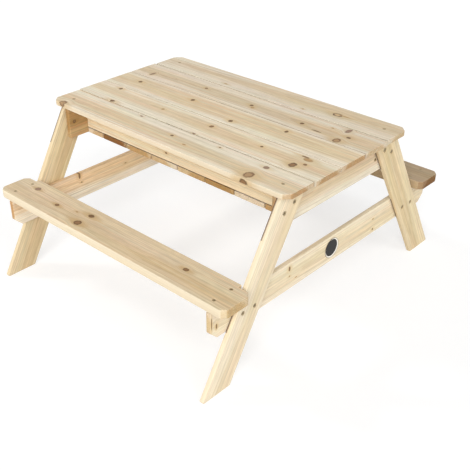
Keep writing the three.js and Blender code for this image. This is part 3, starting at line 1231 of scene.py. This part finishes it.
@dataclass
class Workshop:
    """Makes the pieces from their plans and hands them to the frame.

    Attributes:
        screws: Screws of the table by the name of their node, and groups of small ones by a name.
        ease: Radius of the eased long edges.
        ease_steps: Rings on each eased edge.
    """

    screws: dict[str, list[ScrewPlace]]
    ease: float = 2.0 * MM
    ease_steps: int = 3

    # Edges that turn more than this, in degrees, stay sharp
    SHARP_ANGLE = 38.0

    def show(self, mesh: bpy.types.Mesh, name: str, place: Matrix) -> bpy.types.Object:
        """Put a mesh in the scene.

        Args:
            mesh: The mesh.
            name: Name of its object.
            place: Place of the object.

        Returns:
            The object.
        """
        piece = bpy.data.objects.new(name, mesh)
        piece.matrix_world = place
        bpy.context.scene.collection.objects.link(piece)
        return piece

    def _apply(self, piece: bpy.types.Object) -> None:
        """Apply the modifiers of a piece to its mesh.

        Args:
            piece: The piece.
        """
        graph = bpy.context.evaluated_depsgraph_get()
        done = bpy.data.meshes.new_from_object(piece.evaluated_get(graph), depsgraph=graph)
        piece.modifiers.clear()
        piece.data = done

    def _cut(self, piece: bpy.types.Object, cutter: bpy.types.Mesh) -> None:
        """Cut a body out of a piece.

        Args:
            piece: The piece.
            cutter: Mesh of the body, in the piece's own coordinates.
        """
        tool = self.show(cutter, "cutter", piece.matrix_world)
        cut = piece.modifiers.new("cut", "BOOLEAN")
        cut.operation = "DIFFERENCE"
        cut.solver = "EXACT"
        cut.object = tool
        self._apply(piece)
        bpy.data.objects.remove(tool)

    def smooth(self, piece: bpy.types.Object) -> None:
        """Shade the eased edges smooth and keep broad faces flat.

        Args:
            piece: The piece.
        """
        piece.data.shade_smooth()
        piece.data.set_sharp_from_angle(angle=math.radians(self.SHARP_ANGLE))
        weighted = piece.modifiers.new("weighted", "WEIGHTED_NORMAL")
        weighted.keep_sharp = True
        self._apply(piece)

    def hand_over(
        self, piece: bpy.types.Object, material: bpy.types.Material, body: str, slot: str, *nodes: str
    ) -> bpy.types.Object:
        """Dress a piece and tie it to the frame.

        Args:
            piece: The piece.
            material: Its material.
            body: Body that it rides on.
            slot: Not used.
            *nodes: Nodes that it replaces.

        Returns:
            The piece.
        """
        piece.data.name = piece.name
        piece.data.materials.clear()
        piece.data.materials.append(material)
        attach(piece, body)
        if nodes:
            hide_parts(*nodes)
        return piece

    def board(
        self,
        node: str,
        outline: Outline,
        place: Matrix,
        finish: PineFinish,
        body: str,
        slot: str,
        ease: float | None = None,
    ) -> bpy.types.Object:
        """Make one board: its eased shape, the bores for its screws and its own piece of pine.

        Args:
            node: Node that the board replaces, whose box gives its thickness.
            outline: Outline in the board's own plane.
            place: Place of the board.
            finish: Finish of the board.
            body: Body that it rides on.
            slot: Name of a material slot, handed on to hand_over.
            ease: Radius of its eased edges, if not the usual one.

        Returns:
            The board.
        """
        ease = ease or self.ease
        low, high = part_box(node)
        face = place.to_3x3().col[2]
        thickness = abs((high - low).dot(face))
        flat = thickness / 2 - ease
        angles = [k * math.pi / 2 / self.ease_steps for k in range(self.ease_steps + 1)]
        upper = [(ease * (1 - math.cos(a)), flat + ease * math.sin(a)) for a in angles]
        levels = [(inset, -z) for inset, z in reversed(upper)] + upper
        bm = bmesh.new()
        rings = [[bm.verts.new((p.x, p.y, z)) for p in outline.points(inset)] for inset, z in levels]
        for one, two in zip(rings, rings[1:]):
            for k in range(len(one)):
                after = (k + 1) % len(one)
                bm.faces.new([one[k], one[after], two[after], two[k]])
        bm.faces.new(list(reversed(rings[0])))
        bm.faces.new(rings[-1])
        piece = self.show(mesh_from(bm, node), f"{node}_board", place)
        met = [s for group in self.screws.values() for s in group if s.meets(low, high)]
        if met:
            bores = bmesh.new()
            for screw in met:
                screw.size.add_bore(bores, place.inverted() @ screw.place, screw.length)
            self._cut(piece, mesh_from(bores, "bores"))
        self.smooth(piece)
        return self.hand_over(piece, finish.material(node), body, slot, node)

    def screw_group(self, name: str, body: str, *nodes: str) -> bpy.types.Object:
        """Make the screws of one group as one piece.

        Args:
            name: Name of the group among the screws.
            body: Body that they ride on.
            *nodes: Nodes that they replace.

        Returns:
            The piece.
        """
        group = self.screws[name]
        base = group[0].place
        local = base.inverted()
        bodies, recesses = bmesh.new(), bmesh.new()
        for screw in group:
            screw.size.add_body(bodies, local @ screw.place, screw.length)
            screw.size.add_recess(recesses, local @ screw.place)
        piece = self.show(mesh_from(bodies, name), f"{name}_steel", base)
        self._cut(piece, mesh_from(recesses, "recesses"))
        self.smooth(piece)
        return self.hand_over(piece, SteelFinish().material(), body, "screw_steel", *nodes)


@dataclass
class TableTop:
    """Two fixed boards of the top, with their outer corners cut.

    Attributes:
        corner_cut: Size of the cut at the outer corners.
        shoulder: Radius that rounds the ends of each cut.
        ease: Radius of the eased edges, small so that the seams stay narrow.
    """

    corner_cut: float = 20 * MM
    shoulder: float = 12 * MM
    ease: float = 1.4 * MM

    # The seams share paints shade with dust on the inner edge, in the gap to the lid
    FINISHES = {
        Half.FRONT: PineFinish(
            stock=Stock.TABLETOP,
            seed=3,
            seams=(0.0, 0.22),
            pith_across=-11,
            heart_half=22,
            knots=(
                Knot(-420, -49, 11, 12, KnotKind.RING, 11, 6),
                Knot(-163, 43, 5, 3, KnotKind.BRUISE),
                Knot(3, 8, 5, 4),
                Knot(71, -12, 6, 3, KnotKind.PALE),
                Knot(157, 41, 2.8, 2.6),
                Knot(329, 33, 8, 7, KnotKind.BRUISE),
                Knot(322, -29, 12, 15, KnotKind.RING),
                Knot(326, -54, 12, 8, KnotKind.TIGHT, 12, -7),
            ),
        ),
        Half.REAR: PineFinish(
            stock=Stock.DULL_TOP,
            seed=11,
            seams=(0.0, 0.22),
            pith_across=-12,
            pith_below=60,
            heart_half=22,
            drift=-0.9,
            knots=(
                Knot(159, 36, 6, 3, KnotKind.PALE),
                Knot(-155, 34, 3.5, 3, KnotKind.PALE),
                Knot(-260, 1, 14, 9, KnotKind.EYE),
                Knot(-283, -3, 18, 2.2, KnotKind.PALE),
            ),
        ),
    }

    def build(self, shop: Workshop) -> list[bpy.types.Object]:
        """Build the two boards.

        Args:
            shop: Workshop that makes them.

        Returns:
            The boards.
        """
        made = []
        for half in Half:
            node = f"top_board_{half.label}"
            place, length, width = plan(node, ALONG_X * -half.value, ALONG_Z)
            outline = rectangle(length, width, self.corner_cut, self.shoulder)
            finish = self.FINISHES[half]
            made.append(shop.board(node, outline, place, finish, "table", "board_wood", self.ease))
        return made


@dataclass
class Lid:
    """Three boards on two battens, which lift off the sandbox together.

    Attributes:
        screw_spread: Distance of each batten screw from the middle of its board.
        screw_stagger: Distance of each batten screw from the middle line of the batten.
        tip_cover: Wood left over the point of a batten screw.
        ease: Radius of the eased edges of the boards.
    """

    screw_spread: float = 27 * MM
    screw_stagger: float = 8 * MM
    tip_cover: float = 2 * MM
    ease: float = 1.2 * MM

    # The seams shares paint shade with dust on the edges in the gaps between the boards
    FINISHES = {
        "front": PineFinish(
            stock=Stock.TABLETOP,
            seed=5,
            seams=(0.22, 0.22),
            pith_across=5,
            heart_half=23,
            knots=(
                Knot(-377, 36, 5.5, 6),
                Knot(-319, -48, 9, 5),
                Knot(-155, 11, 5, 4, KnotKind.PALE),
                Knot(38, -52, 6, 2, KnotKind.BRUISE),
                Knot(42, 17, 5.6, 6.6, KnotKind.TIGHT),
                Knot(237, 11, 4, 4),
                Knot(369, -20, 9, 12, KnotKind.TIGHT),
                Knot(393, 3, 5, 4.4, KnotKind.TIGHT),
                Knot(382, 30, 13, 8, KnotKind.PALE),
                Knot(366, 40, 11, 3, KnotKind.TIGHT),
            ),
        ),
        "middle": PineFinish(
            stock=Stock.TABLETOP,
            seed=7,
            seams=(0.22, 0.4),
            pith_across=5,
            heart_half=34,
            drift=-0.3,
            knots=(
                Knot(-377, 11, 6.4, 6),
                Knot(-140, 14, 6.2, 6.4),
                Knot(56, -27, 6, 6.6),
                Knot(224, 24, 5, 6.4),
            ),
        ),
        "rear": PineFinish(
            stock=Stock.DULL_TOP,
            seed=9,
            seams=(0.4, 0.3),
            pith_across=-4,
            heart_half=24,
            knots=(
                Knot(-402, -21, 4.5, 12, KnotKind.BRUISE),
                Knot(-178, 4, 5, 4.6, KnotKind.TIGHT),
                Knot(23, -6, 5.5, 5.4),
                Knot(36, -17, 5, 5, KnotKind.PALE),
                Knot(221, -10, 6, 5.4),
                Knot(285, -25, 15, 2.4),
                Knot(364, -38, 10, 12, KnotKind.RING),
                Knot(379, -1, 6, 5),
                Knot(353, 36, 7, 13, KnotKind.BRUISE),
                Knot(307, 23, 3.5, 3, KnotKind.PALE),
            ),
        ),
    }

    def add_screws(self, shop: Workshop) -> None:
        """Place the batten screws, heads under the battens, before any board is bored.

        Args:
            shop: Workshop that keeps the screws.
        """
        boards = [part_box(f"lid_board_{name}") for name in self.FINISHES]
        for end in End:
            low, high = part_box(f"lid_batten_{end.label}")
            length = boards[0][1].z - low.z - self.tip_cover
            group = []
            for board_low, board_high in boards:
                middle = (board_low.y + board_high.y) / 2
                for side in (-1, 1):
                    x = (low.x + high.x) / 2 + side * self.screw_stagger
                    head = Vector((x, middle + side * self.screw_spread, low.z))
                    group.append(ScrewPlace(lie_out(head, -ALONG_Z), length))
            shop.screws[f"lid_batten_{end.label}_screws"] = group

    def build(self, shop: Workshop) -> list[bpy.types.Object]:
        """Build the boards, battens and batten screws.

        Args:
            shop: Workshop that makes them.

        Returns:
            The pieces.
        """
        made = []
        for name, finish in self.FINISHES.items():
            node = f"lid_board_{name}"
            place, length, width = plan(node, ALONG_X, ALONG_Z)
            outline = rectangle(length, width)
            made.append(shop.board(node, outline, place, finish, "lid", "board_wood", self.ease))
        for end in End:
            node = f"lid_batten_{end.label}"
            place, length, width = plan(node, ALONG_Y, ALONG_Z)
            seed = 20 + end.value
            knots = scattered_knots(seed, length / MM, width / MM, 2)
            finish = PineFinish(stock=Stock.FRAME, seed=seed, pith_across=30, knots=knots)
            outline = rectangle(length, width)
            made.append(shop.board(node, outline, place, finish, "lid", "board_wood"))
            made.append(shop.screw_group(f"{node}_screws", "lid"))
        return made


@dataclass
class Sandbox:
    """Side boards and floor slats of the sandbox under the lid.

    Attributes:
        screw: Section of the small screws that hold the slats from below.
        screw_share: Place of each slat screw from the slat's middle, as a share of its width.
        screw_bite: How far a slat screw reaches into its side board.
        ease: Radius of the eased edges of the slats, small so that the joints stay narrow.
        side_ease: Radius of the eased edges of the side boards.
        joint: Height of the dark joint between each side board and the slats.
    """

    screw: ScrewSize = ScrewSize(
        head=3.4 * MM, cone=2.0 * MM, shank=1.5 * MM, recess=1.9 * MM, slot=0.8 * MM
    )
    screw_share: float = 0.28
    screw_bite: float = 22 * MM
    ease: float = 1.2 * MM
    side_ease: float = 2.0 * MM
    joint: float = 2.6 * MM

    # Width of the strip at each end of the slats that a side board covers, in millimetres, the painted
    # shade with dust on it, and the specular level of the slats, which the joint shows at a grazing angle
    COVER = 15.0
    COVER_DIRT = 0.35
    SLAT_GLEAM = 0.05
    # Cut, middle and half width of the heartwood of each slat, whose ends show as pale and brown blocks
    SLATS = (
        (Stock.BOX, -30, 30),
        (Stock.BROWN, 9, 46),
        (Stock.HONEY, 3, 36),
        (Stock.BOX, 24, 34),
        (Stock.HONEY, -44, 38),
        (Stock.AMBER, 8, 47),
        (Stock.BOX, -110, 20),
        (Stock.HONEY, 0, 46),
    )

    def add_screws(self, shop: Workshop) -> None:
        """Place the slat screws, heads under the slats, before any board is bored.

        Args:
            shop: Workshop that keeps the screws.
        """
        for half in Half:
            side_low, side_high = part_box(f"sandbox_side_{half.label}")
            group = []
            for i in range(len(self.SLATS)):
                low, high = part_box(f"floor_slat_{i + 1}")
                length = high.z - low.z + self.screw_bite
                for side in (-1, 1):
                    x = (low.x + high.x) / 2 + side * self.screw_share * (high.x - low.x)
                    head = Vector((x, (side_low.y + side_high.y) / 2, low.z))
                    group.append(ScrewPlace(lie_out(head, -ALONG_Z), length, self.screw))
            shop.screws[f"floor_slat_screws_{half.label}"] = group

    def build(self, shop: Workshop) -> list[bpy.types.Object]:
        """Build the side boards, slats and slat screws.

        Args:
            shop: Workshop that makes them.

        Returns:
            The pieces.
        """
        made = []
        for half in Half:
            node = f"sandbox_side_{half.label}"
            place, length, width = plan(node, ALONG_X, -ALONG_Y)
            place.translation.z += self.joint / 2
            width -= self.joint
            if half is Half.FRONT:
                knots = (Knot(-48, -19, 3.6, 2.6, KnotKind.TIGHT),)
            else:
                knots = scattered_knots(31, length / MM, width / MM, 4)
            finish = PineFinish(
                stock=Stock.BOX,
                seed=30 + half.value,
                pith_across=-20,
                # Painted shade with dust on the bottom edge of the front board, over the joint to the slats
                seams=(0.9, 0.0) if half is Half.FRONT else (0.0, 0.0),
                knots=knots,
            )
            outline = rectangle(length, width)
            made.append(shop.board(node, outline, place, finish, "table", "box_wood", self.side_ease))
        for i, (stock, offset, half_width) in enumerate(self.SLATS):
            node = f"floor_slat_{i + 1}"
            place, length, width = plan(node, ALONG_Y, ALONG_Z)
            reach = (length / 2 - self.ease) / MM
            covers = ((-reach, self.COVER - reach), (reach - self.COVER, reach))
            finish = PineFinish(
                stock=stock,
                seed=40 + i,
                pith_across=offset,
                heart_half=half_width,
                # Painted shade with dust in the seams between the slats
                seams=(0.4, 0.4),
                contacts=tuple(Contact(start, end, 1, self.COVER_DIRT) for start, end in covers),
                gleam=self.SLAT_GLEAM,
                knots=scattered_knots(40 + i, length / MM, width / MM, 2),
            )
            outline = rectangle(length, width)
            made.append(shop.board(node, outline, place, finish, "table", "box_wood", self.ease))
        made += [shop.screw_group(f"floor_slat_screws_{half.label}", "table") for half in Half]
        return made


@dataclass
class EndFrame:
    """End board, lower rail and two slanted legs of one end of the table.

    Attributes:
        end: Which end.
        foot_reach: Reach of each foot from the middle of the table.
        top_setback: Distance of each leg's outer edge from the edge of the top, where they meet.
        leg_width: Width of the legs.
        toe: Radius of the toes.
        leg_ease: Radius of the eased edges of the legs.
        rail_cut: Size of the cut at the lower corners of the rail.
        rail_shoulder: Radius that rounds the ends of each cut.
    """

    end: End
    foot_reach: float = 555 * MM
    top_setback: float = 16 * MM
    leg_width: float = 90 * MM
    toe: float = 4.5 * MM
    leg_ease: float = 2.6 * MM
    rail_cut: float = 25 * MM
    rail_shoulder: float = 4 * MM

    RAIL_KNOTS = {
        End.LEFT: (
            Knot(-247, 37, 3.4, 10, KnotKind.TIGHT),
            Knot(-241, 11, 2.5, 2, KnotKind.TIGHT),
            Knot(-51, 13, 4, 2.2, KnotKind.PALE),
        ),
        End.RIGHT: (
            Knot(-194, 24, 3.4, 7, KnotKind.TIGHT),
            Knot(-193, -1, 2.5, 2.2, KnotKind.PALE),
            Knot(-163, -18, 4, 1.6, KnotKind.PALE),
            Knot(-502, 10, 1.3, 16, KnotKind.TIGHT),
            Knot(-484, -6, 2.2, 7, KnotKind.TIGHT),
            Knot(211, 7, 3, 2.6, KnotKind.PALE),
            Knot(214, -30, 3, 3.5),
        ),
    }

    def _leg(self, shop: Workshop, half: Half) -> bpy.types.Object:
        """Build one leg, cut level at its sole and its top.

        Args:
            shop: Workshop that makes it.
            half: Front or rear leg.

        Returns:
            The leg.
        """
        node = f"leg_{half.label}_{self.end.label}"
        low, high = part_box(node)
        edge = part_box("top_board_rear")[1].y
        top_reach = edge - self.top_setback
        height = high.z
        slant = math.atan2(self.foot_reach - top_reach, height)
        level = self.leg_width / math.cos(slant)
        reaches = [(self.foot_reach, 0), (top_reach, height), (top_reach - level, height)]
        reaches.append((self.foot_reach - level, 0))
        middle = (low + high) / 2
        corners = [Corner(z - middle.z, middle.y - half.value * y) for y, z in reaches]
        corners[0] = Corner(corners[0].x, corners[0].y, self.toe)
        if half is Half.FRONT:
            corners.reverse()
        against = [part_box(f"{board}_{self.end.label}") for board in ("lower_rail", "end_board")]
        seed = 60 + 3 * self.end.value + half.value
        finish = PineFinish(
            stock=Stock.FRAME if half is Half.FRONT and self.end is End.RIGHT else Stock.TAN_FRAME,
            seed=seed,
            streaks=0.5,
            pith_across=14 * half.value,
            pith_below=55,
            heart_half=20,
            slant=math.degrees(slant) * half.value,
            # Painted shade with some resin where the rail and the end board lie against the leg
            contacts=tuple(Contact((a.z - middle.z) / MM, (b.z - middle.z) / MM) for a, b in against),
        )
        place = lay(middle, ALONG_Z, ALONG_X)
        return shop.board(node, Outline(tuple(corners)), place, finish, "table", "leg_wood", self.leg_ease)

    def build(self, shop: Workshop) -> list[bpy.types.Object]:
        """Build the end board, the rail and the legs.

        Args:
            shop: Workshop that makes them.

        Returns:
            The pieces.
        """
        made = []
        node = f"end_board_{self.end.label}"
        place, length, width = plan(node, ALONG_Y, ALONG_X)
        finish = PineFinish(
            stock=Stock.TABLETOP if self.end is End.RIGHT else Stock.AMBER,
            seed=70 + self.end.value,
            pith_across=6,
            heart_half=26,
            knots=(Knot(-243, 0, 5.4, 4.8, KnotKind.TIGHT),),
        )
        outline = rectangle(length, width)
        made.append(shop.board(node, outline, place, finish, "table", "box_wood"))
        node = f"lower_rail_{self.end.label}"
        place, length, width = plan(node, ALONG_Y, ALONG_X)
        left = self.end is End.LEFT
        finish = PineFinish(
            stock=Stock.ROSY_FRAME if left else Stock.FRAME,
            seed=80 + self.end.value,
            streaks=0.5,
            pith_across=18 if left else -6,
            pith_below=50,
            heart_half=26 if left else 18,
            # Painted shade with dust on the top edge of the rail, which the table above shades
            seams=(0.0, 0.22),
            knots=self.RAIL_KNOTS[self.end],
        )
        outline = rectangle(length, width, self.rail_cut, self.rail_shoulder)
        made.append(shop.board(node, outline, place, finish, "table", "leg_wood"))
        made += [self._leg(shop, half) for half in Half]
        return made


@dataclass
class Bench:
    """Bench with cut corners and a notch at each end for the slanted leg.

    Attributes:
        half: Front or rear bench.
        corner_cut: Size of the cut at the corners.
        shoulder: Radius that rounds the ends of each cut.
        notch_depth: Depth of the notch for the leg.
        notch_gap: Gap between the notch and the leg.
        ease: Radius of the eased edges.
    """

    half: Half
    corner_cut: float = 15 * MM
    shoulder: float = 10 * MM
    notch_depth: float = 13 * MM
    notch_gap: float = 1 * MM
    ease: float = 3 * MM

    KNOTS = (
        Knot(-378, 18, 9, 8, KnotKind.BRUISE),
        Knot(-254, -4, 7, 5.4, KnotKind.TIGHT),
        Knot(-178, 10, 3.6, 3, KnotKind.PALE),
        Knot(-127, 22, 10, 7),
        Knot(-127, -28, 11, 10, KnotKind.TIGHT),
        Knot(272, 11, 8, 6, KnotKind.TIGHT),
    )

    def build(self, shop: Workshop) -> list[bpy.types.Object]:
        """Build the bench.

        Args:
            shop: Workshop that makes it.

        Returns:
            The bench, alone in a list.
        """
        node = f"bench_{self.half.label}"
        place, length, width = plan(node, ALONG_X * -self.half.value, ALONG_Z)
        x, y = length / 2, width / 2
        notch_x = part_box("leg_front_right")[0].x - self.notch_gap
        notch_y = y - self.notch_depth
        cut = self.corner_cut
        right = [
            Corner(x - cut, -y, self.shoulder),
            Corner(x, -y + cut, self.shoulder),
            Corner(x, notch_y - cut, self.shoulder),
            Corner(x - cut, notch_y, self.shoulder),
            Corner(notch_x, notch_y),
            Corner(notch_x, y),
        ]
        left = [Corner(-c.x, c.y, c.radius) for c in reversed(right)]
        knots = self.KNOTS if self.half is Half.FRONT else scattered_knots(90, length / MM, width / MM, 5)
        finish = PineFinish(
            # The rear bench takes the darker seat wood, which is partly painted shade
            stock=Stock.SEAT if self.half is Half.FRONT else Stock.DULL_SEAT,
            seed=90 + self.half.value,
            streaks=0.5,
            pith_across=-22,
            heart_half=24,
            knots=knots,
        )
        outline = Outline(tuple(right + left))
        return [shop.board(node, outline, place, finish, "table", "board_wood", self.ease)]


@dataclass
class Badge:
    """Bare round badge on the right rail: a black disc, off its middle, on a pale plate with a thin rim.

    Attributes:
        disc: Radius of the disc.
        shift_y: How far the disc lies off the middle of the badge along the rail.
        shift_z: How far it lies above the middle.
        plate: Radius of the plate.
        plate_share: Thickness of the plate as a share of the badge's.
        gap: Gap between its pieces.
        edge: Size of the broken edges.
        sides: Number of sides.
    """

    disc: float = 27.0 * MM
    shift_y: float = -2.6 * MM
    shift_z: float = 2.0 * MM
    plate: float = 30.4 * MM
    plate_share: float = 0.6
    gap: float = 0.05 * MM
    edge: float = 0.2 * MM
    sides: int = 96

    # Points this close to each other are one
    WELD = 0.001 * MM

    BLACK = EnamelFinish("black_enamel", "#0B0909", 0.6)
    CREAM = EnamelFinish("cream_enamel", "#F5EFE2", 0.4)
    BROWN = EnamelFinish("brown_enamel", "#5E4C36", 0.5)

    def build(self, shop: Workshop) -> list[bpy.types.Object]:
        """Build the plate, its rim and the disc.

        Args:
            shop: Workshop that makes them.

        Returns:
            The three pieces.
        """
        low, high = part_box("badge")
        radius = (high.z - low.z) / 2
        height = high.x - low.x
        level = height * self.plate_share
        inner = self.plate + self.gap
        lip = level + self.edge
        base = level + self.gap
        plate = [(0, 0), (self.plate, 0), (self.plate, level), (0, level)]
        rim = [(inner, 0), (radius, 0), (radius, level), (radius - self.edge, lip)]
        rim += [(inner, lip), (inner, 0)]
        disc = [(0, base), (self.disc, base), (self.disc, height - self.edge)]
        disc += [(self.disc - self.edge, height), (0, height)]
        shapes = {
            "badge_plate": (plate, self.CREAM, (0, 0)),
            "badge_rim": (rim, self.BROWN, (0, 0)),
            "badge_disc": (disc, self.BLACK, (self.shift_y, self.shift_z)),
        }
        made = []
        for name, (profile, finish, (aside, up)) in shapes.items():
            middle = (low + high) / 2
            place = lie_out(Vector((low.x, middle.y + aside, middle.z + up)), ALONG_X)
            bm = bmesh.new()
            turned(bm, profile, Matrix.Identity(4), self.sides)
            bmesh.ops.remove_doubles(bm, verts=bm.verts, dist=self.WELD)
            piece = shop.show(mesh_from(bm, name), name, place)
            shop.smooth(piece)
            made.append(shop.hand_over(piece, finish.material(), "table", "badge_enamel", "badge"))
        return made


@dataclass(frozen=True)
class Lamp:
    """Soft lamp, so far off that the whole table gets the same light.

    Attributes:
        name: Name of the lamp.
        turn: Turn from the front to the right, in degrees.
        height: Height over the horizon, in degrees.
        softness: Width of the lamp as the table sees it, in degrees.
        share: Strength, where 1 shows a white face that looks straight at the lamp as white.
    """

    name: str
    turn: float
    height: float
    softness: float
    share: float

    def hang(self) -> None:
        """Hang the lamp."""
        data = bpy.data.lights.new(self.name, "SUN")
        data.angle = math.radians(self.softness)
        data.energy = math.pi * self.share
        lamp = bpy.data.objects.new(self.name, data)
        tilt = Matrix.Rotation(math.radians(90 - self.height), 4, "X")
        lamp.matrix_world = Matrix.Rotation(math.radians(self.turn), 4, "Z") @ tilt
        bpy.context.scene.collection.objects.link(lamp)


@dataclass
class Studio:
    """Camera, soft lamps and a pale floor.

    Attributes:
        camera_place: Place of the camera.
        camera_tilt: Angle between its view and straight down, in degrees.
        camera_turn: Turn of its view from +Y to the left, in degrees.
        focal_length: Focal length in picture widths.
        shift: Shift of the picture in picture widths.
        ambient: Strength of the sky light on the object.
        floor_half: Half the width of the floor.
        floor_glow: Glow that the camera sees on the floor, so that it is white where it is lit.
    """

    camera_place: tuple[float, float, float] = (1.50366, -1.61740, 1.43151)
    camera_tilt: float = 57.212
    camera_turn: float = 42.600
    focal_length: float = 788.5 / PICTURE_WIDTH
    shift: tuple[float, float] = (0.0171, 0.0416)
    ambient: float = 0.36
    floor_half: float = 14.0
    floor_glow: float = 0.61

    SENSOR_WIDTH = 36.0
    CLIP_END = 100.0
    FLOOR_CELLS = 8
    WHITE = linear("#FFFFFF")
    # Paper as it lights the table, and the part of it that takes the shadow
    PAPER = linear("#EDEDED")
    SHADED_PAPER = linear("#B2B2B2")
    LAMPS = (
        Lamp("front_key", 30.0, 28.0, 30.0, 0.70),
        Lamp("right_fill", 85.0, 35.0, 30.0, 0.26),
        Lamp("left_rim", -70.0, 35.0, 10.0, 0.28),
    )

    def _camera(self) -> None:
        """Place the camera."""
        data = bpy.data.cameras.new("camera")
        data.sensor_width = self.SENSOR_WIDTH
        data.lens = self.focal_length * self.SENSOR_WIDTH
        data.shift_x, data.shift_y = self.shift
        data.clip_end = self.CLIP_END
        camera = bpy.data.objects.new("camera", data)
        turn = Matrix.Rotation(math.radians(self.camera_turn), 4, "Z")
        tilt = Matrix.Rotation(math.radians(self.camera_tilt), 4, "X")
        camera.matrix_world = Matrix.Translation(Vector(self.camera_place)) @ turn @ tilt
        bpy.context.scene.collection.objects.link(camera)
        bpy.context.scene.camera = camera

    def _world(self) -> None:
        """Light the object from all round, and show white behind it."""
        world = bpy.data.worlds.new("studio")
        tree = clear_tree(world)
        shown = self._shown(tree)
        ranges = {"Value": shown, "To Min": self.ambient, "To Max": 1.0}
        strength = add_node(tree, "ShaderNodeMapRange", ranges)
        sky = add_node(tree, "ShaderNodeBackground", {"Color": self.WHITE, "Strength": strength})
        add_node(tree, "ShaderNodeOutputWorld", {"Surface": sky})
        bpy.context.scene.world = world

    def _shown(self, tree: bpy.types.NodeTree) -> bpy.types.Node:
        """Tell the rays that show the background from those that light the object.

        Args:
            tree: Node tree of the world or the floor.

        Returns:
            Node that gives 1 for camera, glossy and transmission rays.
        """
        path = add_node(tree, "ShaderNodeLightPath")
        direct = {0: path.outputs["Is Camera Ray"], 1: path.outputs["Is Glossy Ray"]}
        shown = add_node(tree, "ShaderNodeMath", direct, operation="MAXIMUM")
        through = {0: shown, 1: path.outputs["Is Transmission Ray"]}
        return add_node(tree, "ShaderNodeMath", through, operation="MAXIMUM")

    def _floor(self) -> None:
        """Lay the floor: white where it is lit, with the faint shadow of the table."""
        bm = bmesh.new()
        cells = self.FLOOR_CELLS
        bmesh.ops.create_grid(bm, x_segments=cells, y_segments=cells, size=self.floor_half)
        floor = bpy.data.objects.new("floor", mesh_from(bm, "floor"))
        material = bpy.data.materials.new("white_studio_paper")
        tree = clear_tree(material)
        shown = self._shown(tree)
        matt = add_node(tree, "ShaderNodeBsdfDiffuse", {"Color": self.PAPER})
        glow = add_node(tree, "ShaderNodeEmission", {"Color": self.WHITE, "Strength": self.floor_glow})
        shadow = add_node(tree, "ShaderNodeBsdfDiffuse", {"Color": self.SHADED_PAPER})
        paper = add_node(tree, "ShaderNodeAddShader", {0: glow, 1: shadow})
        surface = add_node(tree, "ShaderNodeMixShader", {0: shown, 1: matt, 2: paper})
        add_node(tree, "ShaderNodeOutputMaterial", {"Surface": surface})
        floor.data.materials.append(material)
        bpy.context.scene.collection.objects.link(floor)

    def build(self) -> None:
        """Build the studio."""
        self._camera()
        for lamp in self.LAMPS:
            lamp.hang()
        self._world()
        self._floor()
        bpy.context.scene.view_settings.view_transform = "Standard"


def main() -> None:
    """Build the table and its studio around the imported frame."""
    logging.basicConfig(level=logging.INFO, format="%(name)s: %(message)s")
    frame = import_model()
    singles = [node for node in sorted(frame["nodes"]) if "_screw_" in node]
    sizes = {node: LEG_SCREW if node.startswith("leg") else ScrewSize() for node in singles}
    screws = {node: [ScrewPlace.of_node(node, size)] for node, size in sizes.items()}
    shop = Workshop(screws)
    lid, sandbox = Lid(), Sandbox()
    lid.add_screws(shop)
    sandbox.add_screws(shop)
    assemblies = [TableTop(), lid, sandbox, EndFrame(End.LEFT), EndFrame(End.RIGHT)]
    assemblies += [Bench(Half.FRONT), Bench(Half.REAR), Badge()]
    for assembly in assemblies:
        for piece in assembly.build(shop):
            LOG.info("%s: %s, %d faces", type(assembly).__name__, piece.name, len(piece.data.polygons))
    for node in singles:
        piece = shop.screw_group(node, "table", node)
        LOG.info("screw: %s, %d faces", piece.name, len(piece.data.polygons))
    Studio().build()


if __name__ == "__main__":
    main()
